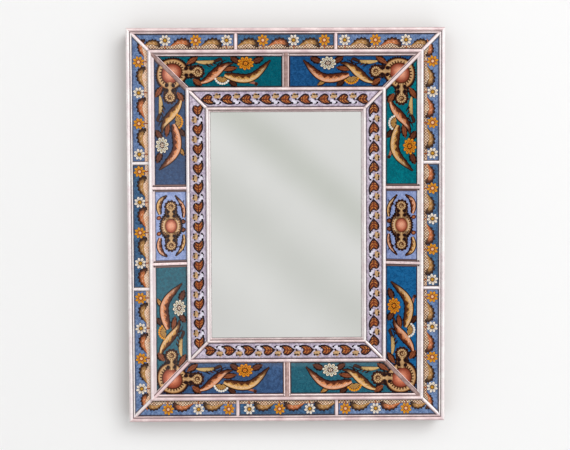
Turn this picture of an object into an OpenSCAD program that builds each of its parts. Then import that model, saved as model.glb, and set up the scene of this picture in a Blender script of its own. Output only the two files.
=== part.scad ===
// Wall mirror framed by three bands of reverse painted glass between four leafed rails.
// X runs to the viewer's right, Z up, and the front faces -Y. The wall is the plane Y = 0.
// Profiles are drawn as [distance in from the outer edge, level above the wall].

/* [Overall size] */
// Width over the outer rail
frame_w = 650; // [560:1:900]
// Height over the outer rail
frame_h = 807; // [680:1:1100]

/* [Outer rail] */
// Width of the wide outer bead
outer_bead_w = 7.6; // [6:0.2:10]
// Width of the groove between the two beads
quirk_w = 1.2; // [0.8:0.1:2]
// Width of the thin inner bead
thin_bead_w = 3.4; // [3.2:0.1:5]
// Level of the groove's floor above the outer glass
quirk_lift = 0.6; // [0.4:0.1:1.5]
// Height of the thin bead's straight side above the outer glass
thin_bead_lift = 1.2; // [0.8:0.1:2.5]

/* [Outer band] */
// Visible width of the outer glass band
outer_band_w = 32; // [26:0.1:45]
// Half the distance between the two crossbars of the top and bottom
outer_joint_x = 102; // [70:1:140]
// Half the distance between the two crossbars of the sides
outer_joint_z = 129; // [90:1:190]

/* [Ridge rail] */
// Width of the ridge rail's bead
ridge_bead_w = 7.3; // [6:0.1:10]
// Width of the cove on its inner side
cove_w = 5.7; // [5:0.1:8]
// Height of the bead's straight side above the outer glass
ridge_bead_lift = 3.8; // [3.4:0.1:6]
// Thickness of the cove's toe on the wide glass
cove_toe = 1.4; // [1.2:0.1:2.5]
// Radius of the cove
cove_r = 10; // [9:0.5:14]

/* [Wide band] */
// Visible width of the wide glass band, seen square from the front
wide_band_w = 61.3; // [50:0.1:85]
// Height that the wide glass rises from the middle rail to the ridge rail
ridge_rise = 24; // [16:0.5:34]
// Half the distance between the two crossbars of the sides
wide_joint_z = 78; // [50:1:120]

/* [Middle rail] */
// Width of the middle rail
middle_bead_w = 7.7; // [7:0.1:11]
// Height of its straight side above the inner glass
middle_bead_lift = 1.4; // [1.2:0.1:3]

/* [Inner band] */
// Visible width of the inner glass band
inner_band_w = 33.3; // [26:0.1:45]

/* [Sight rail] */
// Width of the sight rail's bead
sight_bead_w = 6.2; // [5.4:0.1:9]
// Width of the bevel that falls from the bead to the mirror
bevel_w = 3.8; // [3.2:0.1:6]
// Height of the bead's straight side above the inner glass
sight_bead_lift = 1.2; // [0.8:0.1:2.5]
// Thickness of the bevel's toe on the mirror
bevel_toe = 1.4; // [1:0.1:3]
// Thickness of the nosing that covers the moulding's inner edge
nosing_t = 3; // [2:0.1:3.2]

/* [Glass] */
// Thickness of the painted panels
glass_t = 2; // [1.6:0.1:2.6]
// Width that the rails lap over the panels
glass_lap = 2.4; // [1.8:0.1:2.6]
// Gap between two panels at a joint
pane_gap = 0.6; // [0.3:0.1:1.2]
// Clearance between a panel's edge and the foot of a rail
edge_gap = 0.2; // [0.1:0.05:0.4]
// Thickness of the mirror
mirror_t = 3; // [2.5:0.1:5]
// Clearance of mirror and backboard in their rebates, each side
rebate_gap = 0.5; // [0.3:0.1:1]

/* [Bars over the joints] */
// Width of the bars on the outer band
outer_bar_w = 7; // [5:0.2:9]
// Crown height of the bars on the outer band
outer_bar_crown = 2.4; // [1.8:0.1:2.6]
// Width of the bars across the wide band of the sides
wide_bar_w = 13; // [10:0.2:15]
// Width of the bars across the wide band of the top and bottom
centre_bar_w = 15; // [11:0.2:17]
// Crown height of the bars across the wide band
wide_bar_crown = 3.2; // [2.4:0.1:3.4]
// Width of the flat shoulder on each side of their crown
shoulder_w = 2.4; // [1.6:0.1:2.8]
// Height of the shoulders
shoulder_h = 1.1; // [0.8:0.1:1.4]
// Width of the bars in the wide band's valleys
valley_bar_w = 11; // [8:0.2:13]
// Crown height of the bars in the wide band's valleys, above the line where the panels meet
valley_bar_crown = 3.4; // [2.8:0.1:3.5]
// Width of the bars on the inner band
inner_bar_w = 6.4; // [5:0.2:8]
// Crown height of the bars on the inner band
inner_bar_crown = 2.2; // [1.8:0.1:2.6]

/* [Base moulding] */
// Width of the foot that bears on the wall
foot_w = 28; // [22:1:34]
// Width of the hollow behind the ridge
hollow_w = 76; // [60:1:84]
// Thickness of the wood over the hollow
shell_t = 10; // [7:0.5:13]
// Depth of the recess for the hangers
recess_d = 8; // [7.5:0.1:12]
// Thickness of the wood between the mirror and the inner glass
lip_t = 4; // [3:0.5:8]
// Width that the moulding laps over the mirror
mirror_lap = 8; // [6:0.5:10]
// Width that the backboard laps beyond the mirror's rebate
board_lap = 10; // [9:0.5:14]
// Thickness of the backboard
board_t = 3; // [2.5:0.1:5]
// Setback of the moulding's outer face under the outer rail
side_set = 0.8; // [0.4:0.1:2]
// Chamfer on the foot's outer back edge
foot_chamfer = 1.5; // [0.5:0.1:3]

/* [Hangers] */
// Distance of the hangers in from the outer edge
hanger_in = 127; // [122:0.5:131]
// Height of the hanging rings above the middle
hanger_up = 200; // [120:5:240]
// Width of the strap
strap_w = 15; // [12:0.5:18]
// Thickness of the strap
strap_t = 1.5; // [1.2:0.1:1.6]
// Length of the strap below the ring's axis
strap_l = 46; // [44:1:60]
// Diameter of the ring's wire
wire_d = 3; // [2.5:0.1:3.2]
// Clearance of the wire in the strap's curl
wire_gap = 0.35; // [0.2:0.05:0.4]
// Radius of the ring, to the middle of its wire
ring_r = 12; // [11:0.5:13]
// Distance of the first screw below the ring's axis
first_screw = 19; // [18.5:0.5:22]
// Distance between the two screws of a strap
screw_pitch = 19; // [16:0.5:20]

/* [Screws] */
// Diameter of the hanger screws
hanger_screw_d = 3.5; // [3:0.1:4]
// Length of the hanger screws under the head
hanger_screw_l = 10; // [8:0.5:10.5]
// Diameter of the backboard screws
board_screw_d = 3; // [2.5:0.1:3.5]
// Length of the backboard screws under the head
board_screw_l = 9; // [6:0.5:9.5]
// Distance between the backboard screws of the top and bottom
board_pitch_x = 120; // [80:5:140]
// Distance between the backboard screws of the sides
board_pitch_z = 180; // [120:5:200]
// Clearance round a screw in the plate that it holds
screw_gap = 0.2; // [0.1:0.05:0.4]

/* [Hidden] */
$fn = 64;
SIDES = ["top", "right", "bottom", "left"];
// Names of the panels of each side, in the order in which its length runs
PLACES = [
    ["left", "middle", "right"],
    ["top", "middle", "bottom"],
    ["right", "middle", "left"],
    ["bottom", "middle", "top"]
];

// Distances in from the outer edge
outer_rail_w = outer_bead_w + quirk_w + thin_bead_w;
ridge_in = outer_rail_w + outer_band_w;
cove_in = ridge_in + ridge_bead_w;
wide_in = cove_in + cove_w;
middle_in = wide_in + wide_band_w;
inner_in = middle_in + middle_bead_w;
sight_in = inner_in + inner_band_w;
bevel_in = sight_in + sight_bead_w;
opening_in = bevel_in + bevel_w;
lip_in = opening_in - nosing_t;
mirror_rebate_in = lip_in - mirror_lap;
board_rebate_in = mirror_rebate_in - board_lap;
hollow_in = foot_w + hollow_w;

// Levels above the wall
board_h = recess_d + board_t;
mirror_h = board_h + mirror_t;
inner_seat_h = mirror_h + lip_t;
inner_glass_h = inner_seat_h + glass_t;
outer_glass_h = inner_glass_h + ridge_rise;
outer_seat_h = outer_glass_h - glass_t;
ridge_bead_h = outer_glass_h + ridge_bead_lift;
sight_bead_h = inner_glass_h + sight_bead_lift;
// Levels below every rail and above every crown, for outlines that are cut later
below_h = recess_d;
cut_h = ridge_bead_h + ridge_bead_w;

// Depth of the bars' sections below the glass, before they are cut to it
bar_root = 2;

// Slope of the wide band
slope = atan(ridge_rise / wide_band_w);
valley_slope = atan(ridge_rise / (wide_band_w * sqrt(2)));
function wide_top(u) = inner_glass_h + (middle_in - u) * ridge_rise / wide_band_w;
function wide_seat(u) = wide_top(u) - glass_t / cos(slope);
ridge_foot_in = wide_in - glass_lap - edge_gap;
middle_foot_in = middle_in + glass_lap + edge_gap;

// Hanger
curl_bore_r = wire_d / 2 + wire_gap;
curl_r = curl_bore_r + strap_t;
ring_axis_h = recess_d - curl_r;
curl_slit = 0.4;

// Width and height of the pan heads and width of their slots, as shares of the shank's diameter
head_share = 2;
head_h_share = 0.5;
slot_share = 0.2;

// Straight joints of each side's glass, along its length
function outer_joints(k) = k % 2 == 0 ? [-outer_joint_x, outer_joint_x] : [-outer_joint_z, outer_joint_z];
function wide_joints(k) = k % 2 == 0 ? [0] : [-wide_joint_z, wide_joint_z];
function has_wide_pane(k, i) = k % 2 == 1 || i != 1;

// Distance from the middle to a side's outer edge, and half that side's length
function reach(k) = (k % 2 == 0 ? frame_h : frame_w) / 2;
function half_length(k) = (k % 2 == 0 ? frame_w : frame_h) / 2;

// Colours
leaf = [0.93, 0.87, 0.87];
bole = [0.62, 0.49, 0.46];
bare_wood = [0.62, 0.47, 0.32];
teal = [0.05, 0.45, 0.48];
blue = [0.14, 0.37, 0.60];
haze_blue = [0.31, 0.45, 0.62];
lavender = [0.68, 0.72, 0.88];
sky = [0.42, 0.56, 0.80];
silvering = [0.80, 0.82, 0.81];
hardboard = [0.50, 0.38, 0.26];
steel = [0.70, 0.70, 0.72];
OUTER_COLOURS = [sky, blue, sky];
WIDE_COLOURS = [
    [teal, teal, blue],
    [teal, lavender, blue],
    [teal, teal, blue],
    [teal, lavender, haze_blue]
];

// Places children, drawn in a side's own frame, on side k: X along it and Z = 0 at its outer edge
module side(k) {
    rotate([0, 90 * k, 0]) translate([0, 0, reach(k)]) children();
}

// Runs a profile along its side from x0 to x1
module run(x0, x1) {
    translate([x0, 0, 0]) rotate([0, 90, 0]) linear_extrude(height = x1 - x0) mirror([0, 1]) children();
}

// Plan between the two mitres of side k, set back from each by gap along the side
module mitred_plan(k, gap) {
    h = half_length(k);
    d = opening_in + nosing_t;
    rotate([90, 0, 0]) linear_extrude(height = cut_h)
        polygon([[gap - h, 0], [h - gap, 0], [h - gap - d, -d], [gap - h + d, -d]]);
}

// One mitred length of a moulding, with its profile as the child
module mitred_length(k) {
    side(k) intersection() {
        run(-half_length(k), half_length(k)) children();
        mitred_plan(k, 0);
    }
}

// The two mitred lengths that meet at corner [sx, sz]
module mitred_pair(sx, sz) {
    mitred_length(sz == 0 ? 0 : 2) children();
    mitred_length(sx == 0 ? 1 : 3) children();
}

// One panel of side k between the joints i - 1 and i, with the band's glass profile as the child
module pane(k, joints, i) {
    h = half_length(k);
    x0 = i == 0 ? -h : joints[i - 1] + pane_gap / 2;
    x1 = i == len(joints) ? h : joints[i] - pane_gap / 2;
    side(k) intersection() {
        run(x0, x1) children();
        mitred_plan(k, pane_gap / sqrt(2));
    }
}

// Half-round bead w wide, from u inwards, that springs at level h
module bead(u, w, h) {
    intersection() {
        translate([u + w / 2, h]) circle(d = w);
        translate([u, h]) square([w, w]);
    }
}

// Centre of an arc of radius r from p to q, on the left of the way from p to q
function arc_centre(p, q, r) =
    let (d = q - p, c = norm(d), m = (p + q) / 2, n = [-d[1], d[0]] / c)
    m + n * sqrt(r * r - c * c / 4);

// Outlines of the four rails as they show, drawn down past the glass
module outer_crown() {
    quirk_h = outer_glass_h + quirk_lift;
    thin_h = outer_glass_h + thin_bead_lift;
    thin_in = outer_bead_w + quirk_w;
    translate([0, below_h]) square([thin_in, quirk_h - below_h]);
    translate([thin_in, below_h]) square([thin_bead_w, thin_h - below_h]);
    bead(0, outer_bead_w, quirk_h);
    bead(thin_in, thin_bead_w, thin_h);
}

module ridge_crown() {
    cove_top = [cove_in, ridge_bead_h];
    cove_end = [wide_in, wide_top(wide_in) + cove_toe];
    difference() {
        polygon([[ridge_in, below_h], [wide_in, below_h], cove_end, cove_top, [ridge_in, ridge_bead_h]]);
        translate(arc_centre(cove_top, cove_end, cove_r)) circle(r = cove_r);
    }
    bead(ridge_in, ridge_bead_w, ridge_bead_h);
}

module middle_crown() {
    spring_h = inner_glass_h + middle_bead_lift;
    translate([middle_in, below_h]) square([middle_bead_w, spring_h - below_h]);
    bead(middle_in, middle_bead_w, spring_h);
}

module sight_crown() {
    polygon([
        [sight_in, below_h],
        [opening_in, below_h],
        [opening_in, mirror_h + bevel_toe],
        [bevel_in, sight_bead_h],
        [sight_in, sight_bead_h]
    ]);
    bead(sight_in, sight_bead_w, sight_bead_h);
}

// Rails cut below to the glass that they lap over and to their feet
module outer_rail_profile() {
    foot_end = outer_rail_w - glass_lap - edge_gap;
    intersection() {
        outer_crown();
        polygon([
            [-glass_lap, outer_seat_h],
            [foot_end, outer_seat_h],
            [foot_end, outer_glass_h],
            [ridge_in, outer_glass_h],
            [ridge_in, cut_h],
            [-glass_lap, cut_h]
        ]);
    }
}

module ridge_rail_profile() {
    foot_start = ridge_in + glass_lap + edge_gap;
    intersection() {
        ridge_crown();
        polygon([
            [outer_rail_w, outer_glass_h],
            [foot_start, outer_glass_h],
            [foot_start, outer_seat_h],
            [ridge_foot_in, outer_seat_h],
            [ridge_foot_in, wide_top(ridge_foot_in)],
            [middle_in, wide_top(middle_in)],
            [middle_in, cut_h],
            [outer_rail_w, cut_h]
        ]);
    }
}

module middle_rail_profile() {
    foot_end = inner_in - glass_lap - edge_gap;
    intersection() {
        middle_crown();
        polygon([
            [wide_in, wide_top(wide_in)],
            [middle_foot_in, wide_top(middle_foot_in)],
            [middle_foot_in, inner_seat_h],
            [foot_end, inner_seat_h],
            [foot_end, inner_glass_h],
            [sight_in, inner_glass_h],
            [sight_in, cut_h],
            [wide_in, cut_h]
        ]);
    }
}

module sight_rail_profile() {
    foot_start = sight_in + glass_lap + edge_gap;
    intersection() {
        sight_crown();
        polygon([
            [inner_in, inner_glass_h],
            [foot_start, inner_glass_h],
            [foot_start, inner_seat_h],
            [lip_in, inner_seat_h],
            [lip_in, mirror_h],
            [opening_in + nosing_t, mirror_h],
            [opening_in + nosing_t, cut_h],
            [inner_in, cut_h]
        ]);
    }
}

// Base moulding: foot, flat seat, sloping seat, flat seat, and the rebates at the back
module base_profile() {
    underside_h = outer_seat_h - shell_t;
    under_drop = shell_t / cos(slope);
    knee_in = middle_in - (underside_h + under_drop + glass_t / cos(slope) - inner_glass_h)
        * wide_band_w / ridge_rise;
    polygon([
        [side_set, foot_chamfer],
        [side_set, outer_seat_h],
        [ridge_foot_in, outer_seat_h],
        [ridge_foot_in, wide_seat(ridge_foot_in)],
        [middle_foot_in, wide_seat(middle_foot_in)],
        [middle_foot_in, inner_seat_h],
        [lip_in, inner_seat_h],
        [lip_in, mirror_h],
        [mirror_rebate_in, mirror_h],
        [mirror_rebate_in, board_h],
        [board_rebate_in, board_h],
        [board_rebate_in, recess_d],
        [hollow_in, recess_d],
        [hollow_in, wide_seat(hollow_in) - under_drop],
        [knee_in, underside_h],
        [foot_w, underside_h],
        [foot_w, 0],
        [side_set + foot_chamfer, 0]
    ]);
}

module outer_glass_profile() {
    translate([outer_rail_w - glass_lap, outer_seat_h])
        square([outer_band_w + 2 * glass_lap, glass_t]);
}

module inner_glass_profile() {
    translate([inner_in - glass_lap, inner_seat_h])
        square([inner_band_w + 2 * glass_lap, glass_t]);
}

// Sloping panel with edges square to its faces, clear of the feet of both rails
module wide_glass_profile() {
    top_in = ridge_foot_in + edge_gap + glass_t * sin(slope);
    low_in = middle_foot_in - edge_gap;
    translate([top_in, wide_top(top_in)]) rotate(-slope)
        translate([0, -glass_t]) square([(low_in - top_in) / cos(slope), glass_t]);
}

// Round-topped section of a bar, w wide where it meets the glass, that goes on below it to be cut
module bar_section(w, crown) {
    r = (w * w / 4 + crown * crown) / (2 * crown);
    intersection() {
        translate([0, crown - r]) circle(r = r);
        translate([-r, -bar_root]) square([2 * r, crown + bar_root]);
    }
}

// Section with a shoulder on each side of a narrower crown
module shouldered_section(w, crown) {
    bar_section(w - 2 * shoulder_w, crown);
    translate([-w / 2, -bar_root]) square([w, shoulder_h + bar_root]);
}

// Straight bar across side k's band at x, from distance u0 in to u1, on a face that falls by tilt
module crossbar(k, x, u0, u1, h0, tilt) {
    side(k) translate([x, -h0, -u0]) rotate([180 + tilt, 0, 0])
        linear_extrude(height = (u1 - u0) / cos(tilt)) children();
}

// Bar along the mitre of corner [sx, sz], from distance u0 in to u1, on a line that falls by tilt
module corner_bar(sx, sz, u0, u1, h0, tilt) {
    mirror([sx, 0, 0]) mirror([0, 0, sz]) translate([frame_w / 2 - u0, -h0, frame_h / 2 - u0])
        rotate([0, 135, 0]) rotate([0, 0, tilt]) rotate([0, 90, 0])
            linear_extrude(height = (u1 - u0) * sqrt(2) / cos(tilt)) mirror([0, 1]) children();
}

// The space that the bars of a band fill: above its glass, and over its rails up to their crowns
module outer_space() {
    u0 = outer_rail_w - thin_bead_w / 2;
    u1 = ridge_in + ridge_bead_w / 2;
    difference() {
        polygon([[u0, outer_glass_h], [u1, outer_glass_h], [u1, cut_h], [u0, cut_h]]);
        outer_crown();
        ridge_crown();
    }
}

module wide_space() {
    u0 = ridge_in + ridge_bead_w / 2;
    u1 = middle_in + middle_bead_w / 2;
    difference() {
        polygon([[u0, wide_top(u0)], [u1, wide_top(u1)], [u1, cut_h], [u0, cut_h]]);
        ridge_crown();
        middle_crown();
    }
}

module inner_space() {
    u0 = middle_in + middle_bead_w / 2;
    u1 = sight_in + sight_bead_w / 2;
    difference() {
        polygon([[u0, inner_glass_h], [u1, inner_glass_h], [u1, cut_h], [u0, cut_h]]);
        middle_crown();
        sight_crown();
    }
}

module base(k) {
    color(bare_wood) difference() {
        mitred_length(k) base_profile();
        screw_holes(board_screw_points(), recess_d, board_screw_d / 2, board_screw_l);
        screw_holes(hanger_screw_points(), recess_d - strap_t, hanger_screw_d / 2, hanger_screw_l);
    }
}

module outer_rail(k) { color(leaf) mitred_length(k) outer_rail_profile(); }

module ridge_rail(k) { color(leaf) mitred_length(k) ridge_rail_profile(); }

module middle_rail(k) { color(leaf) mitred_length(k) middle_rail_profile(); }

module sight_rail(k) { color(leaf) mitred_length(k) sight_rail_profile(); }

module outer_glass(k, i) { color(OUTER_COLOURS[i]) pane(k, outer_joints(k), i) outer_glass_profile(); }

// The panels of a side with one joint are its first and last
module wide_glass(k, i) {
    order = k % 2 == 0 ? i / 2 : i;
    color(WIDE_COLOURS[k][i]) pane(k, wide_joints(k), order) wide_glass_profile();
}

module inner_glass(k) { color(lavender) pane(k, [], 0) inner_glass_profile(); }

// Bars scribed over the rails at both ends and bedded on the glass
module outer_crossbars() {
    color(leaf) for (k = [0:3]) for (x = outer_joints(k)) intersection() {
        crossbar(k, x, 0, inner_in, outer_glass_h, 0)
            bar_section(outer_bar_w, outer_bar_crown);
        side(k) run(x - outer_bar_w, x + outer_bar_w) outer_space();
    }
}

module wide_crossbars() {
    color(bole) for (k = [0:3]) for (x = wide_joints(k)) intersection() {
        w = k % 2 == 0 ? centre_bar_w : wide_bar_w;
        crossbar(k, x, ridge_in, inner_in, wide_top(ridge_in), slope)
            shouldered_section(w, wide_bar_crown);
        side(k) run(x - w, x + w) wide_space();
    }
}

module outer_mitre_bars() {
    color(leaf) for (sx = [0, 1]) for (sz = [0, 1]) intersection() {
        corner_bar(sx, sz, 0, wide_in, outer_glass_h, 0)
            bar_section(outer_bar_w, outer_bar_crown);
        mitred_pair(sx, sz) outer_space();
    }
}

module wide_mitre_bars() {
    color(bole) for (sx = [0, 1]) for (sz = [0, 1]) intersection() {
        corner_bar(sx, sz, ridge_in, inner_in, wide_top(ridge_in), valley_slope)
            bar_section(valley_bar_w, valley_bar_crown);
        mitred_pair(sx, sz) wide_space();
    }
}

module inner_mitre_bars() {
    color(leaf) for (sx = [0, 1]) for (sz = [0, 1]) intersection() {
        corner_bar(sx, sz, middle_in, opening_in, inner_glass_h, 0)
            bar_section(inner_bar_w, inner_bar_crown);
        mitred_pair(sx, sz) inner_space();
    }
}

// Flat plate in the frame's opening: its edge lies u in from the outer edge, its front at level h
module plate(u, h, t) {
    translate([u - frame_w / 2, -h, u - frame_h / 2]) cube([frame_w - 2 * u, t, frame_h - 2 * u]);
}

module mirror_glass() {
    color(silvering) plate(mirror_rebate_in + rebate_gap, mirror_h, mirror_t);
}

module backboard() {
    color(hardboard) difference() {
        plate(board_rebate_in + rebate_gap, board_h, board_t);
        screw_holes(board_screw_points(), board_h, board_screw_d / 2 + screw_gap, board_t);
    }
}

// Screw places, as [x, z]
function board_screw_points() =
    let (in = board_rebate_in + board_lap / 2, x = frame_w / 2 - in, z = frame_h / 2 - in)
    concat(
        [for (s = [-1, 1]) for (i = [-1:1]) [i * board_pitch_x, s * z]],
        [for (s = [-1, 1]) for (i = [-1:1]) [s * x, i * board_pitch_z]]
    );
function hanger_screw_points() =
    [for (s = [-1, 1]) for (i = [0, 1])
        [s * (frame_w / 2 - hanger_in), hanger_up - first_screw - i * screw_pitch]];

// Holes both ways from level h, each deep
module screw_holes(points, h, r, deep) {
    for (p = points) translate([p[0], deep - h, p[1]]) rotate([90, 0, 0]) cylinder(r = r, h = 2 * deep);
}

// Pan head screw driven towards the front, with the underside of its head at level h
module screw(p, h, d, len) {
    head_r = d * head_share / 2;
    head_h = d * head_h_share;
    ball_r = (head_r * head_r + head_h * head_h) / (2 * head_h);
    slot = d * slot_share;
    translate([p[0], -h, p[1]]) {
        rotate([90, 0, 0]) cylinder(d = d, h = len);
        difference() {
            intersection() {
                translate([0, head_h - ball_r, 0]) sphere(r = ball_r);
                rotate([-90, 0, 0]) cylinder(r = head_r, h = head_h);
            }
            translate([-slot / 2, head_h / 2, -d / 2]) cube([slot, head_h, d]);
            translate([-d / 2, head_h / 2, -slot / 2]) cube([d, head_h, slot]);
        }
    }
}

module backboard_screws() {
    color(steel) for (p = board_screw_points()) screw(p, recess_d, board_screw_d, board_screw_l);
}

module hanger_screws() {
    color(steel) for (p = hanger_screw_points())
        screw(p, recess_d - strap_t, hanger_screw_d, hanger_screw_l);
}

// Strap with a curl round the ring's wire, seated on the moulding's back; s is the side, -1 or 1
module hanger(s) {
    x = s * (frame_w / 2 - hanger_in);
    color(steel) difference() {
        intersection() {
            translate([x - strap_w / 2, 0, hanger_up]) rotate([90, 0, 90]) linear_extrude(height = strap_w) {
                translate([-recess_d, -strap_l]) square([strap_t, strap_l]);
                translate([-ring_axis_h, 0]) difference() {
                    circle(r = curl_r);
                    circle(r = curl_bore_r);
                    translate([-curl_bore_r, -curl_r]) square([curl_slit, curl_r]);
                }
            }
            translate([x, 0, hanger_up]) rotate([90, 0, 0]) linear_extrude(height = recess_d) {
                translate([0, strap_w / 2 - strap_l]) circle(d = strap_w);
                translate([-strap_w / 2, strap_w / 2 - strap_l]) square([strap_w, strap_l]);
            }
        }
        screw_holes(hanger_screw_points(), recess_d, hanger_screw_d / 2 + screw_gap, strap_t);
    }
}

// D-ring that hangs from the curl
module ring(s) {
    translate([s * (frame_w / 2 - hanger_in), -ring_axis_h, hanger_up]) color(steel) {
        translate([-ring_r, 0, 0]) rotate([0, 90, 0]) cylinder(d = wire_d, h = 2 * ring_r);
        rotate([-90, 0, 0]) rotate_extrude(angle = 180) translate([ring_r, 0]) circle(d = wire_d);
        for (e = [-1, 1]) translate([e * ring_r, 0, 0]) sphere(d = wire_d);
    }
}

for (k = [0:3]) {
    base(k);
    outer_rail(k);
    ridge_rail(k);
    middle_rail(k);
    sight_rail(k);
    inner_glass(k);
    for (i = [0:2]) {
        outer_glass(k, i);
        if (has_wide_pane(k, i)) {
            wide_glass(k, i);
        }
    }
}
mirror_glass();  // mirror
backboard();
backboard_screws();
outer_mitre_bars();
wide_mitre_bars();
inner_mitre_bars();
outer_crossbars();
wide_crossbars();
hanger(-1);  // hanger_left
hanger(1);  // hanger_right
ring(-1);  // ring_left
ring(1);  // ring_right
hanger_screws();
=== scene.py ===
import math
import random

import bmesh
import bpy
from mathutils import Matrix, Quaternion, Vector


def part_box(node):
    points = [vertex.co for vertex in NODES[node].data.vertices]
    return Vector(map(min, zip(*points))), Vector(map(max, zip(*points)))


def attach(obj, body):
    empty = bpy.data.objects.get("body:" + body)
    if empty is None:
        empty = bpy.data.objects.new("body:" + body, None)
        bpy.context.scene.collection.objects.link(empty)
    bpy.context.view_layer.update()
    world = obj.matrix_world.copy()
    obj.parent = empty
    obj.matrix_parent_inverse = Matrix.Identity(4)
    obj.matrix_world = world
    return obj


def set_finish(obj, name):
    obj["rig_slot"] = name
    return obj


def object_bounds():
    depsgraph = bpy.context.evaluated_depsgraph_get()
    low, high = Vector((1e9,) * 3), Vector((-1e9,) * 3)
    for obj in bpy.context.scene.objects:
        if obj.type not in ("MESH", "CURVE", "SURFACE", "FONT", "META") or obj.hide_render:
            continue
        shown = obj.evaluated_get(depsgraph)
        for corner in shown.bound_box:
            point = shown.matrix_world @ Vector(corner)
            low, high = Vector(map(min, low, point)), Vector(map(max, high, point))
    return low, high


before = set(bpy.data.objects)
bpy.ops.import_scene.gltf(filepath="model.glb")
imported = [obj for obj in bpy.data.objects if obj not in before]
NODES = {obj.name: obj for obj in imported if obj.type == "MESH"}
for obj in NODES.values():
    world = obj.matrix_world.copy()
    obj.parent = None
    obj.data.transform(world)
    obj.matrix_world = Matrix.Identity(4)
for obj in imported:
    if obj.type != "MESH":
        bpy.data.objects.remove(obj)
CAD_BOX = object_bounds()

# Sizes. The frame is in metres; plans and paintings below are in millimetres, scaled by MM.
MM = 0.001
HALF_W = CAD_BOX[1].x / MM
HALF_H = CAD_BOX[1].z / MM
SIDES = ["top", "right", "bottom", "left"]
# A difference of the distances from two edges, times this, is the distance from their mitre
SLANT = math.sqrt(0.5)


def reach_in(node):
    """How far in from the frame's outer edge a piece of the left side starts and ends, in mm."""
    low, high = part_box(node)
    return low.x / MM + HALF_W, high.x / MM + HALF_W


def level(node):
    """The height of a node's highest point above the wall, in mm."""
    return -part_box(node)[0].y / MM


OUTER_RAIL = reach_in("outer_rail_left")
RIDGE_RAIL = reach_in("ridge_rail_left")
MIDDLE_RAIL = reach_in("middle_rail_left")
SIGHT_RAIL = reach_in("sight_rail_left")
OUTER_GLASS_H = level("outer_glass_left_middle")
INNER_GLASS_H = level("inner_glass_left")
OUTER_JOINT_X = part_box("outer_glass_top_middle")[1].x / MM
OUTER_JOINT_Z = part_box("outer_glass_left_middle")[1].z / MM
WIDE_JOINT_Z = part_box("wide_glass_left_middle")[1].z / MM
# The gap between two panels under a crossbar
PANE_GAP = 0.6
# The bead's share of the ridge rail and of the sight rail; the rest is the cove and the bevel
RIDGE_BEAD_W = 7.3
SIGHT_BEAD_W = 6.2
# The outer rail's outer bead and the groove beside it
OUTER_BEAD_W = 7.6
QUIRK_W = 1.2
# The bars' widths: over the outer band's joints, the wide band's mitres, its joints at the sides
# and at the middle of the top and bottom, and the inner band's mitres
OUTER_BAR_W, VALLEY_BAR_W, WIDE_BAR_W, CENTRE_BAR_W, INNER_BAR_W = 7, 11, 13, 15, 6.4


# Colours
def tint(red, green, blue):
    """A colour read as display values from 0 to 255, as the linear colour that Blender uses."""
    def linear(value):
        v = value / 255
        return v / 12.92 if v <= 0.04045 else ((v + 0.055) / 1.055) ** 2.4
    return (linear(red), linear(green), linear(blue), 1.0)


# The leaf's tones. The LEVEL ones, darker and pinker than the LEAF ones, are painted shade on the level
# rails, which get less light than the upright ones; LEVEL_LIGHT and LEVEL_MID also give the wide band's bars
# their painted highlights. LEAF_SHADE and LEVEL_SHADE are the painted shade in the coves and bevels, and
# LEAF_SHADE also tones the cloudy streaks.
LEAF_LIGHT = tint(255, 250, 249)
LEAF_MID = tint(246, 232, 234)
LEVEL_LIGHT = tint(254, 234, 233)
LEVEL_MID = tint(228, 200, 202)
LEAF_SHADE = tint(190, 168, 172)
LEVEL_SHADE = tint(112, 88, 86)
BOLE_BROWN = tint(120, 80, 72)
LINE_BROWN = tint(62, 38, 36)
SHOULDER_SHADE = tint(128, 98, 94)


# Materials
class Value:
    """What a node gives, a number or a colour. Sums, products and comparisons make nodes too."""

    def __init__(self, graph, socket):
        self.graph, self.socket = graph, socket

    def __add__(self, other):
        return self.graph.math("ADD", self, other)

    def __sub__(self, other):
        return self.graph.math("SUBTRACT", self, other)

    def __rsub__(self, other):
        return self.graph.math("SUBTRACT", other, self)

    def __mul__(self, other):
        return self.graph.math("MULTIPLY", self, other)

    def __truediv__(self, other):
        return self.graph.math("DIVIDE", self, other)

    def __lt__(self, other):
        return self.graph.math("LESS_THAN", self, other)

    def __gt__(self, other):
        return self.graph.math("GREATER_THAN", self, other)

    def __abs__(self):
        return self.graph.math("ABSOLUTE", self)


def least(first, *others):
    for other in others:
        first = first.graph.math("MINIMUM", first, other)
    return first


def most(first, *others):
    for other in others:
        first = first.graph.math("MAXIMUM", first, other)
    return first


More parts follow.
